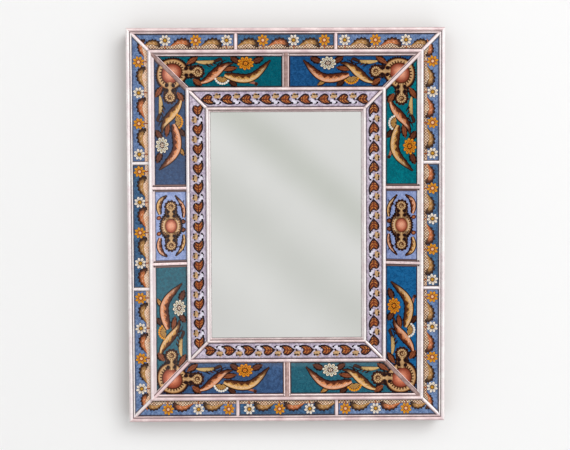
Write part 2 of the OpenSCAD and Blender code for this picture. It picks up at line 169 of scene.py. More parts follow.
class Graph:
    """The nodes of a new material, or of the world, with a short call for each kind used here."""

    def __init__(self, name, owners=bpy.data.materials, output="OutputMaterial"):
        self.owner = owners.new(name)
        self.owner.use_nodes = True
        self.tree = self.owner.node_tree
        self.tree.nodes.clear()
        self.output = self.node(output)
        self.position = None

    def set(self, socket, value):
        """A socket takes another node's output, or a number or a colour."""
        if isinstance(value, Value):
            self.tree.links.new(value.socket, socket)
        else:
            socket.default_value = value

    def node(self, kind, *inputs, **settings):
        """A new node with these settings and, in their order, these inputs."""
        made = self.tree.nodes.new("ShaderNode" + kind)
        for name, value in settings.items():
            setattr(made, name, value)
        for socket, value in zip(made.inputs, inputs):
            self.set(socket, value)
        return made

    def result(self, node, output=0):
        return Value(self, node.outputs[output])

    def named(self, kind, values):
        """What a new node of this kind gives, its inputs set by name."""
        made = self.node(kind)
        for name, value in values.items():
            self.set(made.inputs[name], value)
        return self.result(made)

    def math(self, operation, a, b=0.0):
        return self.result(self.node("Math", a, b, operation=operation))

    def mix(self, share, a, b, blend="MIX"):
        made = self.node("Mix", share, data_type="RGBA", blend_type=blend)
        self.set(made.inputs[6], a)
        self.set(made.inputs[7], b)
        return self.result(made, 2)

    def smooth(self, value, low, high, start=0.0, end=1.0):
        """Goes smoothly from start to end as value goes from low to high."""
        return self.result(self.node("MapRange", value, low, high, start, end,
                                     interpolation_type="SMOOTHSTEP"))

    def scaled(self, vector, factor):
        made = self.node("VectorMath", vector, operation="SCALE")
        self.set(made.inputs["Scale"], factor)
        return self.result(made)

    def place(self):
        """The surface's own position in mm, as a vector."""
        if self.position is None:
            self.position = self.scaled(self.result(self.node("TexCoord"), "Object"), 1 / MM)
        return self.position

    def parts(self, vector):
        made = self.node("SeparateXYZ", vector)
        return [self.result(made, i) for i in range(3)]

    def axes(self):
        """The position's three parts in mm."""
        return self.parts(self.place())

    def noise(self, size, detail, stretch=(1, 1, 1), roughness=0.5, distortion=0.0):
        """Noise whose lumps are about size mm long, drawn out along an axis by stretch."""
        scale = self.node("VectorMath", self.place(), [1 / (size * s) for s in stretch], operation="MULTIPLY")
        return self.named("TexNoise", {"Vector": self.result(scale), "Scale": 1.0, "Detail": detail,
                                       "Roughness": roughness, "Distortion": distortion})

    def patches(self, size, detail, low=0.3, high=0.7, start=0.0, end=1.0, **settings):
        """Noise as soft patches: start where it is under low and end where it is over high."""
        return self.smooth(self.noise(size, detail, **settings), low, high, start, end)

    def bump(self, height, depth, strength=0.5):
        """A normal from a height of 0 to 1 that stands for depth in mm."""
        return self.named("Bump", {"Height": height, "Distance": depth * MM, "Strength": strength})

    def leaf_grain(self):
        return self.bump(self.noise(1.6, 4), 0.12)

    def finish(self, shader):
        self.set(self.output.inputs["Surface"], self.result(shader))
        return self.owner

    def surface(self, color, **settings):
        """The Principled shader with this colour; settings name its sockets with _ for a blank."""
        shader = self.node("BsdfPrincipled", color)
        for name, value in settings.items():
            self.set(shader.inputs[name.replace("_", " ").title().replace("Ior", "IOR")], value)
        return self.finish(shader)

    def inward(self):
        """How far in from the outer edges a point lies: across X, across Z, and the lesser."""
        x, _, z = self.axes()
        across_x, across_z = HALF_W - abs(x), HALF_H - abs(z)
        return across_x, across_z, least(across_x, across_z)

    def off_mitre(self):
        """How far a point lies from its corner's mitre, towards the level side being more than 0."""
        across_x, across_z, _ = self.inward()
        return (across_x - across_z) * SLANT

    def line(self, value, centre, half):
        """1 on a line at centre, 0 from twice half away from it."""
        return self.smooth(abs(value - centre), half, half * 2, 1.0, 0.0)


def leafed(graph, lines, shade_lines=None):
    """Silver leaf laid over red-brown bole: cloudy, rubbed through in spots and dark in the lines.
    On the level rails it is darker and pinker, a painted shade for the light that they get less
    of than the upright ones; shade_lines add painted shade in the coves, least on the right side."""
    across_x, across_z, _ = graph.inward()
    flat = graph.smooth(across_x - across_z, -0.5, 0.5)
    mid = graph.mix(flat, LEAF_MID, LEVEL_MID)
    color = graph.mix(graph.patches(26, 4), mid, graph.mix(flat, LEAF_LIGHT, LEVEL_LIGHT))
    streaks = graph.patches(5, 3, 0.46, 0.76, roughness=0.6)
    color = graph.mix(streaks * 0.25, color, LEAF_SHADE)
    rubbed = graph.patches(3.4, 5, 0.66, 0.75, roughness=0.65)
    color = graph.mix(rubbed * 0.6, color, BOLE_BROWN)
    if shade_lines:
        # Painted shade in the coves: strongest on the level rails, weaker on the left and faint on the right
        right_side = graph.axes()[0] > 0.0
        strength = most(flat * 0.85, right_side * -0.5 + 0.55)
        color = graph.mix(shade_lines * strength, color, graph.mix(flat, LEAF_SHADE, LEVEL_SHADE))
    color = graph.mix(lines, color, LINE_BROWN)
    rough = graph.patches(4, 4, 0.3, 0.75, 0.3, 0.5)
    return graph.surface(color, metallic=0.35, roughness=rough, normal=graph.leaf_grain())


def rail_leaf(name, lines, shade_lines):
    """The leaf of a rail with dark lines, and softer lines of painted shade, at these distances in from
    the outer edge, in mm, each with half its width."""
    graph = Graph(name)
    _, _, inward = graph.inward()
    inward = inward + (graph.noise(7, 3) * 0.7 - 0.35)
    # pale is the mask of the lines of painted shade
    dark, pale = (most(*(graph.line(inward, *line) for line in group)) if group else None
                  for group in (lines, shade_lines))
    return leafed(graph, dark, pale)


def crossbar_leaf():
    """The leaf of the outer band's crossbars, dark along both edges."""
    graph = Graph("outer_crossbar_leaf")
    x, _, z = graph.axes()
    off = least(abs(abs(x) - OUTER_JOINT_X), abs(abs(z) - OUTER_JOINT_Z))
    half = OUTER_BAR_W / 2
    return leafed(graph, graph.smooth(off, half - 0.4, half + 0.1))


def mitre_leaf(name, width):
    """The leaf of plain bars over the mitres, dark along both edges."""
    graph = Graph(name)
    half = width / 2
    return leafed(graph, graph.smooth(abs(graph.off_mitre()), half - 0.5, half + 0.1))


# A surface for the wide band's bars, whose colours carry painted highlights and painted shade
def worn_leaf(graph, color):
    return graph.surface(color, metallic=0.1, roughness=0.42, normal=graph.leaf_grain())


def shaded_crossbars():
    """The wide band's crossbars, in painted light and shade: on the upright sides a painted highlight on
    the crown between shoulders in painted shade, and at the middle of the top and the bottom a
    pink-brown face in painted shade between painted light lines."""
    graph = Graph("crossbar_leaf_painted_light")
    x, _, z = graph.axes()
    off_side, off_centre = abs(abs(z) - WIDE_JOINT_Z), abs(x)
    clouds = graph.patches(6, 4)
    crown = graph.mix(clouds, LEVEL_MID, LEVEL_LIGHT)
    shoulder = graph.mix(graph.smooth(off_side, 3.6, 6.0), LINE_BROWN, SHOULDER_SHADE)
    side = graph.mix(graph.smooth(off_side, 2.3, 3.1), crown, shoulder)
    face = graph.mix(clouds, tint(150, 118, 112), tint(186, 154, 148))
    centre = graph.mix(graph.line(off_centre, 5.3, 0.5), face, LEVEL_LIGHT)
    centre = graph.mix(graph.smooth(off_centre, 6.4, 7.0), centre, LINE_BROWN)
    return worn_leaf(graph, graph.mix(off_centre < OUTER_JOINT_X / 2, side, centre))


def shaded_mitres():
    """The wide band's mitre bars, in painted light and shade: a bead, set towards the lower side,
    between grooves in painted shade, with a painted highlight along the upper edge. The bead is
    painted light at the upper right, duller at the lower left and in brown painted shade at the other
    two corners."""
    graph = Graph("mitre_leaf_painted_light")
    x, _, z = graph.axes()
    upper = graph.off_mitre() * graph.math("SIGN", z)
    clouds = graph.patches(7, 4)
    groove = graph.mix(clouds, tint(112, 82, 80), tint(142, 110, 108))
    bead = graph.mix(z < 0.0, LEVEL_LIGHT, LEVEL_MID)
    bead = graph.mix(x * z < 0.0, bead, graph.mix(clouds, tint(146, 116, 110), tint(186, 158, 152)))
    color = graph.mix(graph.line(upper, -1.1, 1.75), groove, bead)
    color = graph.mix(graph.line(upper, 4.5, 0.6), color, LEVEL_LIGHT)
    color = graph.mix(graph.smooth(upper, -5.2, -4.6, 1.0, 0.0), color, LINE_BROWN)
    return worn_leaf(graph, color)


# How far some of the rails' painted shadow lines are set out from under the beads, which hide a little glass
SHADOW_LINE_SET = 0.9
SHADOW_LINE_EDGES = (OUTER_RAIL[1] + SHADOW_LINE_SET, RIDGE_RAIL[0] - SHADOW_LINE_SET, RIDGE_RAIL[1],
              MIDDLE_RAIL[0] - SHADOW_LINE_SET / 2, MIDDLE_RAIL[1], SIGHT_RAIL[0] - SHADOW_LINE_SET / 2)
# The share of the glass's gloss that shows over the ornament, whose tones are dark
PAINT_GLOSS = 0.45


def seam_shadows(graph):
    """1 along the edges of the rails and bars, where the glass lies in their shadow, 0 elsewhere."""
    across_x, across_z, inward = graph.inward()
    x, _, z = graph.axes()
    level_side = across_z < across_x
    outer = inward < RIDGE_RAIL[0] + 1
    inner = inward > MIDDLE_RAIL[0] + 1

    def of_band(at_outer, at_wide, at_inner):
        return outer * (at_outer - at_wide) + inner * (at_inner - at_wide) + at_wide

    far = 2 * HALF_H
    mitre = abs(graph.off_mitre()) - of_band(OUTER_BAR_W / 2, VALLEY_BAR_W / 2, INNER_BAR_W / 2)
    at_level = abs(abs(x) - of_band(OUTER_JOINT_X, 0, far)) - of_band(OUTER_BAR_W / 2, CENTRE_BAR_W / 2, 0)
    at_upright = (abs(abs(z) - of_band(OUTER_JOINT_Z, WIDE_JOINT_Z, far))
                  - of_band(OUTER_BAR_W / 2, WIDE_BAR_W / 2, 0))
    cross = level_side * at_level + (1.0 - level_side) * at_upright
    rail = least(*(abs(inward - edge) for edge in SHADOW_LINE_EDGES))
    wobble = graph.noise(6, 3) * 0.8 - 0.4
    by_bar, by_rail = (graph.smooth(off + wobble, 0.8, 2.3, 1.0, 0.0) for off in (least(mitre, cross), rail))
    # The painted shadow beside the rails is full on the level sides and weaker on the upright ones, weakest
    # on the left
    return most(by_bar, by_rail * most(level_side, (x > 0.0) * 0.35 + 0.4))


def behind_glass(graph, color, gloss=1.0):
    """Paint seen through its glass: dull itself, under a smooth clear coat."""
    return graph.surface(color, roughness=0.7, specular_ior_level=0.0, coat_weight=gloss,
                         coat_roughness=0.03)


def ground(name, dark, light, speck):
    """Paint dabbed with a sponge behind glass: two tones in patches, with finer specks, and the painted
    shadow beside the rails and bars.
    """
    graph = Graph(name)
    color = graph.mix(graph.patches(5.72, 5, 0.4, 0.62, roughness=0.65, distortion=0.4), dark, light)
    color = graph.mix(graph.patches(1.56, 3, 0.54, 0.67, roughness=0.7) * 0.6, color, speck)
    color = graph.mix(graph.patches(60, 2, 0.3, 0.75, 0.0, 0.35), color, dark)
    return behind_glass(graph, graph.mix(seam_shadows(graph) * 0.85, color, LINE_BROWN))


def silvering():
    """The plain mirror: silvered glass with a faint grey-green tone."""
    graph = Graph("silvered_glass")
    color = graph.mix(graph.patches(140, 2), (0.815, 0.82, 0.81, 1), (0.84, 0.845, 0.835, 1))
    return graph.surface(color, metallic=1.0, roughness=graph.patches(60, 2, 0.35, 0.75, 0.025, 0.04))


def base_wood():
    """Stained timber, its grain along each side of the frame."""
    graph = Graph("stained_wood")
    across_x, across_z, _ = graph.inward()
    upright = across_x < across_z
    along_x, along_z = (graph.noise(2.4, 4, stretch, roughness=0.6, distortion=0.3)
                        for stretch in ((26, 1, 1), (1, 1, 26)))
    grain = upright * along_z + (1.0 - upright) * along_x
    color = graph.mix(graph.smooth(grain, 0.36, 0.66), tint(92, 62, 42), tint(140, 100, 70))
    color = graph.mix(graph.patches(70, 3, 0.35, 0.7, 0.0, 0.4), color, tint(104, 72, 52))
    rough = graph.smooth(grain, 0.3, 0.7, 0.7, 0.52)
    return graph.surface(color, roughness=rough, normal=graph.bump(grain, 0.25))


def hardboard():
    """Brown fibreboard, speckled with fibres."""
    graph = Graph("fibreboard")
    fibres = graph.noise(1.4, 5, stretch=(5, 1, 2), roughness=0.75, distortion=1.5)
    color = graph.mix(graph.smooth(fibres, 0.35, 0.68), tint(96, 66, 44), tint(146, 108, 76))
    color = graph.mix(graph.patches(45, 3, 0.35, 0.7, 0.0, 0.35), color, tint(112, 80, 56))
    return graph.surface(color, roughness=0.78, normal=graph.bump(fibres, 0.15))


def zinc_steel():
    """Plated steel, finely scratched, with duller patches."""
    graph = Graph("zinc_plated_steel")
    scratches = graph.noise(0.5, 3, stretch=(1, 1, 14), roughness=0.6)
    color = graph.mix(graph.smooth(scratches, 0.35, 0.65), tint(168, 168, 172), tint(206, 205, 204))
    dull = graph.patches(6, 3, 0.4, 0.7)
    color = graph.mix(dull * 0.4, color, tint(150, 148, 142))
    rough = graph.smooth(dull, 0.0, 1.0, 0.28, 0.46)
    return graph.surface(color, metallic=0.95, roughness=rough, normal=graph.bump(scratches, 0.03, 0.4))


def dress(nodes, material, slot):
    """Gives CAD nodes a material and the record's slot that it stands for."""
    for name in nodes:
        node = NODES[name]
        node.data.materials.clear()
        node.data.materials.append(material)
        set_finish(node, slot)


def on_sides(name, sides=SIDES):
    return [f"{name}_{side}" for side in sides]


def dress_rails():
    """Leaf on the rails, with dark lines where they meet the glass and in their grooves, lines of
    painted shade in the ridge rail's cove and on the sight rail's bevel, and on the bars."""
    quirk = OUTER_BEAD_W + QUIRK_W / 2
    cove = RIDGE_RAIL[0] + RIDGE_BEAD_W
    bevel = SIGHT_RAIL[0] + SIGHT_BEAD_W
    ridge_edges = [(RIDGE_RAIL[0], 0.35), (RIDGE_RAIL[1], 0.45)]
    # Each rail: its nodes, its material, its dark lines and its lines of painted shade
    rails = [
        (on_sides("outer_rail"), "outer_rail_leaf", [(quirk, 0.4), (OUTER_RAIL[1], 0.35)], []),
        (on_sides("ridge_rail", ["right", "left"]), "ridge_upright_leaf", ridge_edges, [(cove + 2.6, 1.9)]),
        (on_sides("ridge_rail", ["top", "bottom"]), "ridge_level_leaf", ridge_edges, [(cove + 1.2, 0.9)]),
        (on_sides("middle_rail"), "middle_rail_leaf", [(edge, 0.35) for edge in MIDDLE_RAIL], []),
        (on_sides("sight_rail"), "sight_rail_leaf", [(SIGHT_RAIL[0], 0.35), (SIGHT_RAIL[1], 0.3)],
         [(bevel, 0.6)]),
    ]
    for nodes, name, lines, shade_lines in rails:
        dress(nodes, rail_leaf(name, lines, shade_lines), "silver_leaf")
    dress(["outer_crossbars"], crossbar_leaf(), "silver_leaf")
    dress(["outer_mitre_bars"], mitre_leaf("outer_mitre_leaf", OUTER_BAR_W), "silver_leaf")
    dress(["inner_mitre_bars"], mitre_leaf("inner_mitre_leaf", INNER_BAR_W), "silver_leaf")
    # The wide band's bars, whose tones are painted light and shade
    dress(["wide_crossbars"], shaded_crossbars(), "worn_leaf")
    dress(["wide_mitre_bars"], shaded_mitres(), "worn_leaf")


# Each ground: its dark tone, its light tone, its specks, the slot of its panels and their names. The wide
# band's teal and blue grounds are lighter, darker or hazier copies of one teal and one blue by where their
# panels face: painted light, painted shade and a painted haze of reflection.
GROUNDS = {
    "sky": [(62, 92, 138), (112, 138, 182), (180, 192, 216), "glass_sky"],
    "steel": [(20, 62, 100), (56, 104, 146), (104, 148, 184), "glass_blue"],
    "pale": [(162, 146, 170), (214, 202, 220), (250, 240, 242), "glass_lavender"],
    "teal": [(0, 82, 98), (4, 102, 118), (60, 134, 140), "glass_teal", "top_left"],
    "lit_teal": [(0, 94, 108), (0, 124, 136), (36, 152, 156), "glass_teal", "right_top"],
    "blue": [(20, 66, 112), (36, 92, 146), (62, 122, 178), "glass_blue", "top_right"],
    "hazed_teal": [(24, 80, 98), (36, 102, 120), (78, 136, 148), "glass_teal", "bottom_right"],
    "hazed_blue": [(44, 68, 104), (62, 94, 138), (92, 124, 168), "glass_blue", "bottom_left"],
    "lit_blue": [(14, 80, 130), (30, 108, 164), (64, 136, 190), "glass_blue", "right_bottom"],
    "haze": [(10, 46, 88), (34, 70, 114), (72, 106, 150), "glass_haze_blue", "left_top"],
    "soft_teal": [(0, 74, 92), (8, 98, 116), (52, 132, 146), "glass_teal", "left_bottom"],
    "lavender": [(120, 138, 188), (156, 170, 214), (202, 208, 238), "glass_lavender",
                 "right_middle", "left_middle"],
}


def dress_panels():
    """The grounds on the panels: the wide band's by its own list, the others by their band."""
    for kind, (dark, light, speck, slot, *wide_panels) in GROUNDS.items():
        if kind == "pale":
            nodes = on_sides("inner_glass")
        elif wide_panels:
            nodes = [f"wide_glass_{panel}" for panel in wide_panels]
        else:
            nodes = [name for name in NODES if name.startswith("outer_glass")
                     and name.endswith("middle") == (kind == "steel")]
        dress(nodes, ground(kind + "_ground", tint(*dark), tint(*light), tint(*speck)), slot)


dress_rails()
dress_panels()
dress(["mirror"], silvering(), "mirror_glass")
dress(on_sides("base"), base_wood(), "base_wood")
dress(["backboard"], hardboard(), "backboard")
dress(["backboard_screws", "hanger_left", "hanger_right", "ring_left", "ring_right", "hanger_screws"],
      zinc_steel(), "zinc_steel")


# Paint tones
CREAM = tint(240, 218, 196)
PEARL = tint(250, 246, 236)
SALMON = tint(214, 148, 122)
ROSE = tint(216, 120, 88)
JEWEL_LIGHT = tint(255, 188, 156)
GOLD = tint(216, 166, 92)
TAN = tint(198, 148, 96)
TAN_LIGHT = tint(234, 194, 142)
TAN_DEEP = tint(146, 98, 56)
COLLAR_TAN = tint(216, 172, 122)
OLIVE_DEEP = tint(112, 84, 42)
ORANGE = tint(236, 156, 38)
ORANGE_DEEP = tint(196, 104, 20)
BROWN = tint(92, 56, 40)
TIP_BROWN = tint(80, 40, 26)
DARK = tint(40, 24, 24)
INK = tint(24, 18, 24)
RED_BROWN = tint(142, 66, 48)

# How much higher each layer of paint lies than the one below it, and how far all of it reaches
# into the panel behind, in mm
LAYER = 0.03
SUNK = 0.2
# Where a stroke of paint has its points across it, from -1 to 1: an outline, then the body
ACROSS = (-1.0, -0.84, -0.76, -0.45, -0.1, 0.15, 0.4, 0.62, 0.76, 0.84, 1.0)
LINE_ACROSS = (-1.0, 1.0)
# The thinnest that a stroke gets to be, as its half width in mm
FINEST = 0.12
# The two paints, by their place in each painting's materials
BRUSHED, LACE = 0, 1


def between(a, b, share):
    """The colour or point a share of the way from a to b."""
    return tuple(p + (q - p) * share for p, q in zip(a, b))


def held(value):
    """A value kept within 0 and 1."""
    return min(1.0, max(0.0, value))


def tooth_at(t, teeth):
    """A saw's height at t of the way along its teeth, from 0 to 1."""
    return abs((t * teeth) % 1.0 - 0.5) * 2


def outlined(shade, body=0.8):
    """Shading that is dark beyond the body's share of the way across."""
    return lambda t, s: DARK if abs(s) > body else shade(t, s)


def curve(points, steps=5, closed=False):
    """A smooth curve through points of any number of parts, with steps places to each span."""
    count = len(points)
    path = []
    for i in range(count if closed else count - 1):
        if closed:
            p = [points[(i + k) % count] for k in (-1, 0, 1, 2)]
        else:
            p = [points[min(max(i + k, 0), count - 1)] for k in (-1, 0, 1, 2)]
        for step in range(steps):
            t = step / steps
            path.append(tuple(
                0.5 * (2 * q1 + (q2 - q0) * t + (2 * q0 - 5 * q1 + 4 * q2 - q3) * t * t
                       + (3 * q1 - q0 - 3 * q2 + q3) * t ** 3)
                for q0, q1, q2, q3 in zip(*p)))
    if not closed:
        path.append(tuple(points[-1]))
    return path


def turned(point, angle):
    c, s = math.cos(angle), math.sin(angle)
    return (point[0] * c - point[1] * s, point[0] * s + point[1] * c)


def on_oval(centre, angle, across, up=None):
    """The point at an angle on a circle round a centre, or on an oval of two half sizes."""
    up = across if up is None else up
    return centre[0] + across * math.cos(angle), centre[1] + up * math.sin(angle)


def oval(centre, long, wide, angle=0.0, count=16):
    """An oval's outline, long and wide being its half sizes, with its long axis at an angle."""
    outline = []
    for i in range(count):
        a, b = turned(on_oval((0, 0), math.tau * i / count, long, wide), angle)
        outline.append((centre[0] + a, centre[1] + b))
    return outline


def normal_at(path, i):
    """The direction to the left of a path at its place i, as a pair."""
    before, after = path[max(i - 1, 0)], path[min(i + 1, len(path) - 1)]
    da, db = after[0] - before[0], after[1] - before[1]
    size = math.hypot(da, db) or 1.0
    return -db / size, da / size


PAINTINGS = []


class Painting:
    """The painted shapes of one panel, as closed thin plates in layers. They are drawn in the
    panel's own plan, which lay turns into a place on the frame, all in mm."""

    def __init__(self, name, slot, lay=None):
        self.name, self.slot, self.lay = name, slot, lay
        self.points, self.faces, self.colors, self.kinds = [], [], [], []
        self.dice = random.Random(len(PAINTINGS))
        PAINTINGS.append(self)

    def add(self, point, lift, color):
        x, height, z = self.lay(*point)
        self.points.append((x * MM, -(height + lift) * MM, z * MM))
        self.colors.append(color)
        return len(self.points) - 1

    def face(self, corners, kind=BRUSHED):
        self.faces.append(corners)
        self.kinds.append(kind)

    def close(self, loop, places, colors, kind=BRUSHED):
        """Walls from a loop of the plate's rim down into the panel, and a bottom."""
        low = [self.add(p, -SUNK, c) for p, c in zip(places, colors)]
        count = len(loop)
        for i in range(count):
            j = (i + 1) % count
            self.face((loop[i], loop[j], low[j], low[i]), kind)
        self.face(tuple(reversed(low)), kind)

    def grid(self, rows, layer, kind=BRUSHED):
        """A plate from rows of (point, colour)."""
        lift = LAYER * (layer + 1)
        top = [[self.add(p, lift, c) for p, c in row] for row in rows]
        last, end = len(rows) - 1, len(rows[0]) - 1
        for i in range(last):
            for j in range(end):
                self.face((top[i][j], top[i + 1][j], top[i + 1][j + 1], top[i][j + 1]), kind)
        rim = ([(0, j) for j in range(end)] + [(i, end) for i in range(last)]
               + [(last, j) for j in range(end, 0, -1)] + [(i, 0) for i in range(last, 0, -1)])
        self.close([top[i][j] for i, j in rim], [rows[i][j][0] for i, j in rim],
                   [rows[i][j][1] for i, j in rim], kind)

    def spot(self, outline, rings, layer, centre):
        """A plate inside an outline, with its colours in rings of (share of the way out, colour);
        a colour may also be a function of the point."""
        count = len(outline)
        lift = LAYER * (layer + 1)
        inner = []
        for share, color in rings:
            places = [between(centre, p, share) for p in outline] if share else [centre]
            colors = [color(p) if callable(color) else color for p in places]
            outer = [self.add(p, lift, c) for p, c in zip(places, colors)]
            for i in range(count if inner else 0):
                j = (i + 1) % count
                if len(inner) == 1:
                    self.face((inner[0], outer[i], outer[j]))
                else:
                    self.face((inner[i], outer[i], outer[j], inner[j]))
            inner = outer
        self.close(inner, places, colors)

    def disc(self, centre, radius, color, layer, edge=None, count=12):
        edge = edge or color
        self.spot(oval(centre, radius, radius, count=count),
                  [(0, color), (0.62, color), (0.78, edge), (1, edge)], layer, centre)

    def stroke(self, spine, shade, layer, steps=5, across=ACROSS):
        """A band of paint along a spine of (a, b, half width). shade(t, s) colours it, with t from
        0 to 1 along and s from -1 to 1 across, where 1 is on the left of the way."""
        path = curve(spine, steps)
        rows = []
        for i, (a, b, half) in enumerate(path):
            left_a, left_b = normal_at(path, i)
            half = max(half, FINEST)
            rows.append([((a + left_a * half * s, b + left_b * half * s), shade(i / (len(path) - 1), s))
                         for s in across])
        self.grid(rows, layer)

    def ribbon(self, spine, color, layer, steps):
        """A stroke of one colour."""
        self.stroke(spine, lambda t, s: color, layer, steps, LINE_ACROSS)

    def line(self, points, half, color, layer, steps=4):
        """A thin brush line, finest at its end."""
        last = len(points) - 1
        self.ribbon([(a, b, half * (1 - 0.7 * i / last)) for i, (a, b) in enumerate(points)],
                    color, layer, steps)

    def scallops(self, spine, side, radius, count, layer, start, end):
        """Small round lobes along one side of a stroke, from behind it."""
        path = curve(spine, 8)
        last = len(path) - 1
        for n in range(count):
            i = round(last * (start + (end - start) * n / (count - 1)))
            i = min(max(i, 1), last - 1)
            a, b, half = path[i]
            left_a, left_b = normal_at(path, i)
            off = side * max(half - radius * 0.25, 0.2)
            self.disc((a + left_a * off, b + left_b * off), radius, DARK, layer)

    def bud(self, start, end, width, light, deep, layer):
        """A pointed bud from its stalk to its tip, with a dark outline, a midrib and two light
        strokes."""
        half = width / 2
        da, db = end[0] - start[0], end[1] - start[1]
        size = math.hypot(da, db)

        def at(share, across):
            return (start[0] + da * share - db / size * across * half,
                    start[1] + db * share + da / size * across * half)

        for side in (1, -1):
            for share, across in ((0.3, 0.7), (0.55, 0.86), (0.8, 0.52)):
                self.disc(at(share, side * across), half * 0.3, DARK, layer, count=9)
        widths = ((0.0, 0.8), (0.3, half * 0.86), (0.58, half), (0.86, half * 0.5), (1.0, 0.2))
        self.stroke([(*at(share, 0), wide) for share, wide in widths],
                    outlined(lambda t, s: between(light, deep, 0.75 * t + 0.3 * abs(s)), 0.7), layer, 4)
        self.line([at(0.06, 0), at(0.5, 0.06), at(0.94, 0)], 0.55, DARK, layer + 1)
        for side in (1, -1):
            self.line([at(0.2, 0.16 * side), at(0.46, 0.42 * side), at(0.72, 0.3 * side)], 0.6,
                      between(light, deep, 0.6), layer + 1)

    def flower(self, centre, radius, petals, tones, layer, wide=1.0, turn=0.0, pointed=True, core=0.42):
        """A daisy. Its tones are a petal's tip, root and outline, its eye and the eye's ring; wide
        is its size across as a share of its size along, and core how much of the root's tone its
        petals' middles have."""
        tip, root, outline, eye, ring = tones
        reach = math.tau / petals
        half = radius * (0.6 if pointed else 0.68) * math.tan(reach / 2)
        petal = [(0.2, 0.15), (0.48, 0.8), (0.68, 1.0), (0.87, 0.66 if pointed else 0.9),
                 (1.0, 0.0 if pointed else 0.3)]
        outer = [(along * radius, across * half) for along, across in petal]
        shape = curve(outer + [(a, -b) for a, b in reversed(outer[:-1] if pointed else outer)], 2, True)
        middle = between(tip, root, core)
        rings = [(0, middle), (0.42, middle), (0.56, tip), (0.76, tip), (0.84, outline), (1, outline)]

        def at(point, angle):
            a, b = turned(point, angle)
            return (centre[0] + a, centre[1] + b * wide)

        for n in range(petals):
            angle = turn + reach * n
            self.spot([at(p, angle) for p in shape], rings, layer + n % 2, at((radius * 0.62, 0), angle))
            self.line([at((radius * share, 0), angle) for share in (0.34, 0.5, 0.72)], radius * 0.06,
                      root, layer + 2)
        eye_r = radius * 0.36
        self.spot(oval(centre, eye_r, eye_r * wide, count=14),
                  [(0, eye), (0.55, eye), (0.72, ring), (1, ring)], layer + 3, centre)

    def build(self):
        mesh = bpy.data.meshes.new(self.name)
        mesh.from_pydata(self.points, [], self.faces)
        shell = bmesh.new()
        shell.from_mesh(mesh)
        bmesh.ops.recalc_face_normals(shell, faces=shell.faces)
        shell.to_mesh(mesh)
        shell.free()
        colors = mesh.color_attributes.new("tint", "FLOAT_COLOR", "POINT")
        colors.data.foreach_set("color", [part for color in self.colors for part in color])
        for material in PAINTS:
            mesh.materials.append(material)
        mesh.polygons.foreach_set("material_index", self.kinds)
        item = bpy.data.objects.new(self.name, mesh)
        bpy.context.scene.collection.objects.link(item)
        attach(item, "frame")
        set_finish(item, self.slot)


def brush_paint():
    """The ornament's paint, in the shapes' own tints, with the brush's unevenness."""
    graph = Graph("brushed_paint")
    own = graph.result(graph.node("VertexColor", layer_name="tint"), "Color")
    thin = graph.patches(1.3, 4, 0.32, 0.68, 0.62, 1.1, roughness=0.7)
    return behind_glass(graph, graph.scaled(own, thin), PAINT_GLOSS)


LACE_PITCH = 4.0


def lace_paint():
    """Cream paint with a brown crosshatch at 45 degrees, fainter in patches and on the left side,
    whose cream is pinker."""
    graph = Graph("crosshatched_paint")
    x, _, z = graph.axes()
    left_side = x < RIDGE_RAIL[0] - HALF_W + 1
    faint = left_side * -0.6
    wobble = graph.noise(4, 2) * 0.9 - 0.45
    hatches = (graph.math("PINGPONG", slant * SLANT + wobble, LACE_PITCH / 2) for slant in (x + z, x - z))
    hatch = most(*(graph.smooth(swing, 0.45, 0.95, 1.0, 0.0) for swing in hatches))
    clouds = graph.patches(9, 3)
    cream = graph.mix(left_side, graph.mix(clouds, tint(255, 212, 172), tint(255, 236, 206)),
                      graph.mix(clouds, tint(255, 204, 166), tint(255, 228, 204)))
    strength = graph.patches(14, 2, 0.35, 0.6, 0.75, 1.0) * (faint + 1.0)
    color = graph.mix(hatch * strength, cream, tint(92, 46, 28))
    stains = graph.patches(5, 4, 0.54, 0.68, 0.0, 0.65, roughness=0.7)
    color = graph.mix(stains * (faint + 1.0), color, tint(150, 90, 60))
    # The painted shadow beside the rails and bars, weaker on the left side
    color = graph.mix(seam_shadows(graph) * (faint + 0.85), color, LINE_BROWN)
    return behind_glass(graph, color, PAINT_GLOSS)


PAINTS = [brush_paint(), lace_paint()]


# Places on the frame
SIDE_AXES = {"top": (0, 1), "right": (1, 0), "bottom": (0, -1), "left": (-1, 0)}


def half_length(side):
    return HALF_W if side in ("top", "bottom") else HALF_H


def on_side(side, along, inward):
    """The X and Z of a point along a side clockwise from its middle, and in from its outer edge."""
    out_x, out_z = SIDE_AXES[side]
    reach = (HALF_W if out_x else HALF_H) - inward
    return out_x * reach + out_z * along, out_z * reach - out_x * along


def wide_level(inward):
    """The height of the sloping panels' front at a distance in from the outer edge."""
    share = (MIDDLE_RAIL[0] - inward) / (MIDDLE_RAIL[0] - RIDGE_RAIL[1])
    return INNER_GLASS_H + (OUTER_GLASS_H - INNER_GLASS_H) * share


# The outer band: lace along the ridge rail, leaves arching over its humps, daisies between
DAISY_PITCH = 62.5
DAISY_OUT = 18.8
DAISY_R = 12.6
# The first daisy's distance from a crossbar on the corner panels, and the last one's from the
# end of a middle panel, on each side
DAISY_FROM_BAR = 18.3
DAISY_TO_END = {"top": 23.3, "bottom": 23.8, "left": 17.1, "right": 17.1}
LACE_H, HUMP_H, HUMP_HALF = 7.6, 13.2, 16.0
# How far the lace stops short of a crossbar's middle, and how many lengths it is drawn in
LACE_SHORT = 2.5
LACE_STEPS = 72
FIRST_WHITE = ("top", "left")
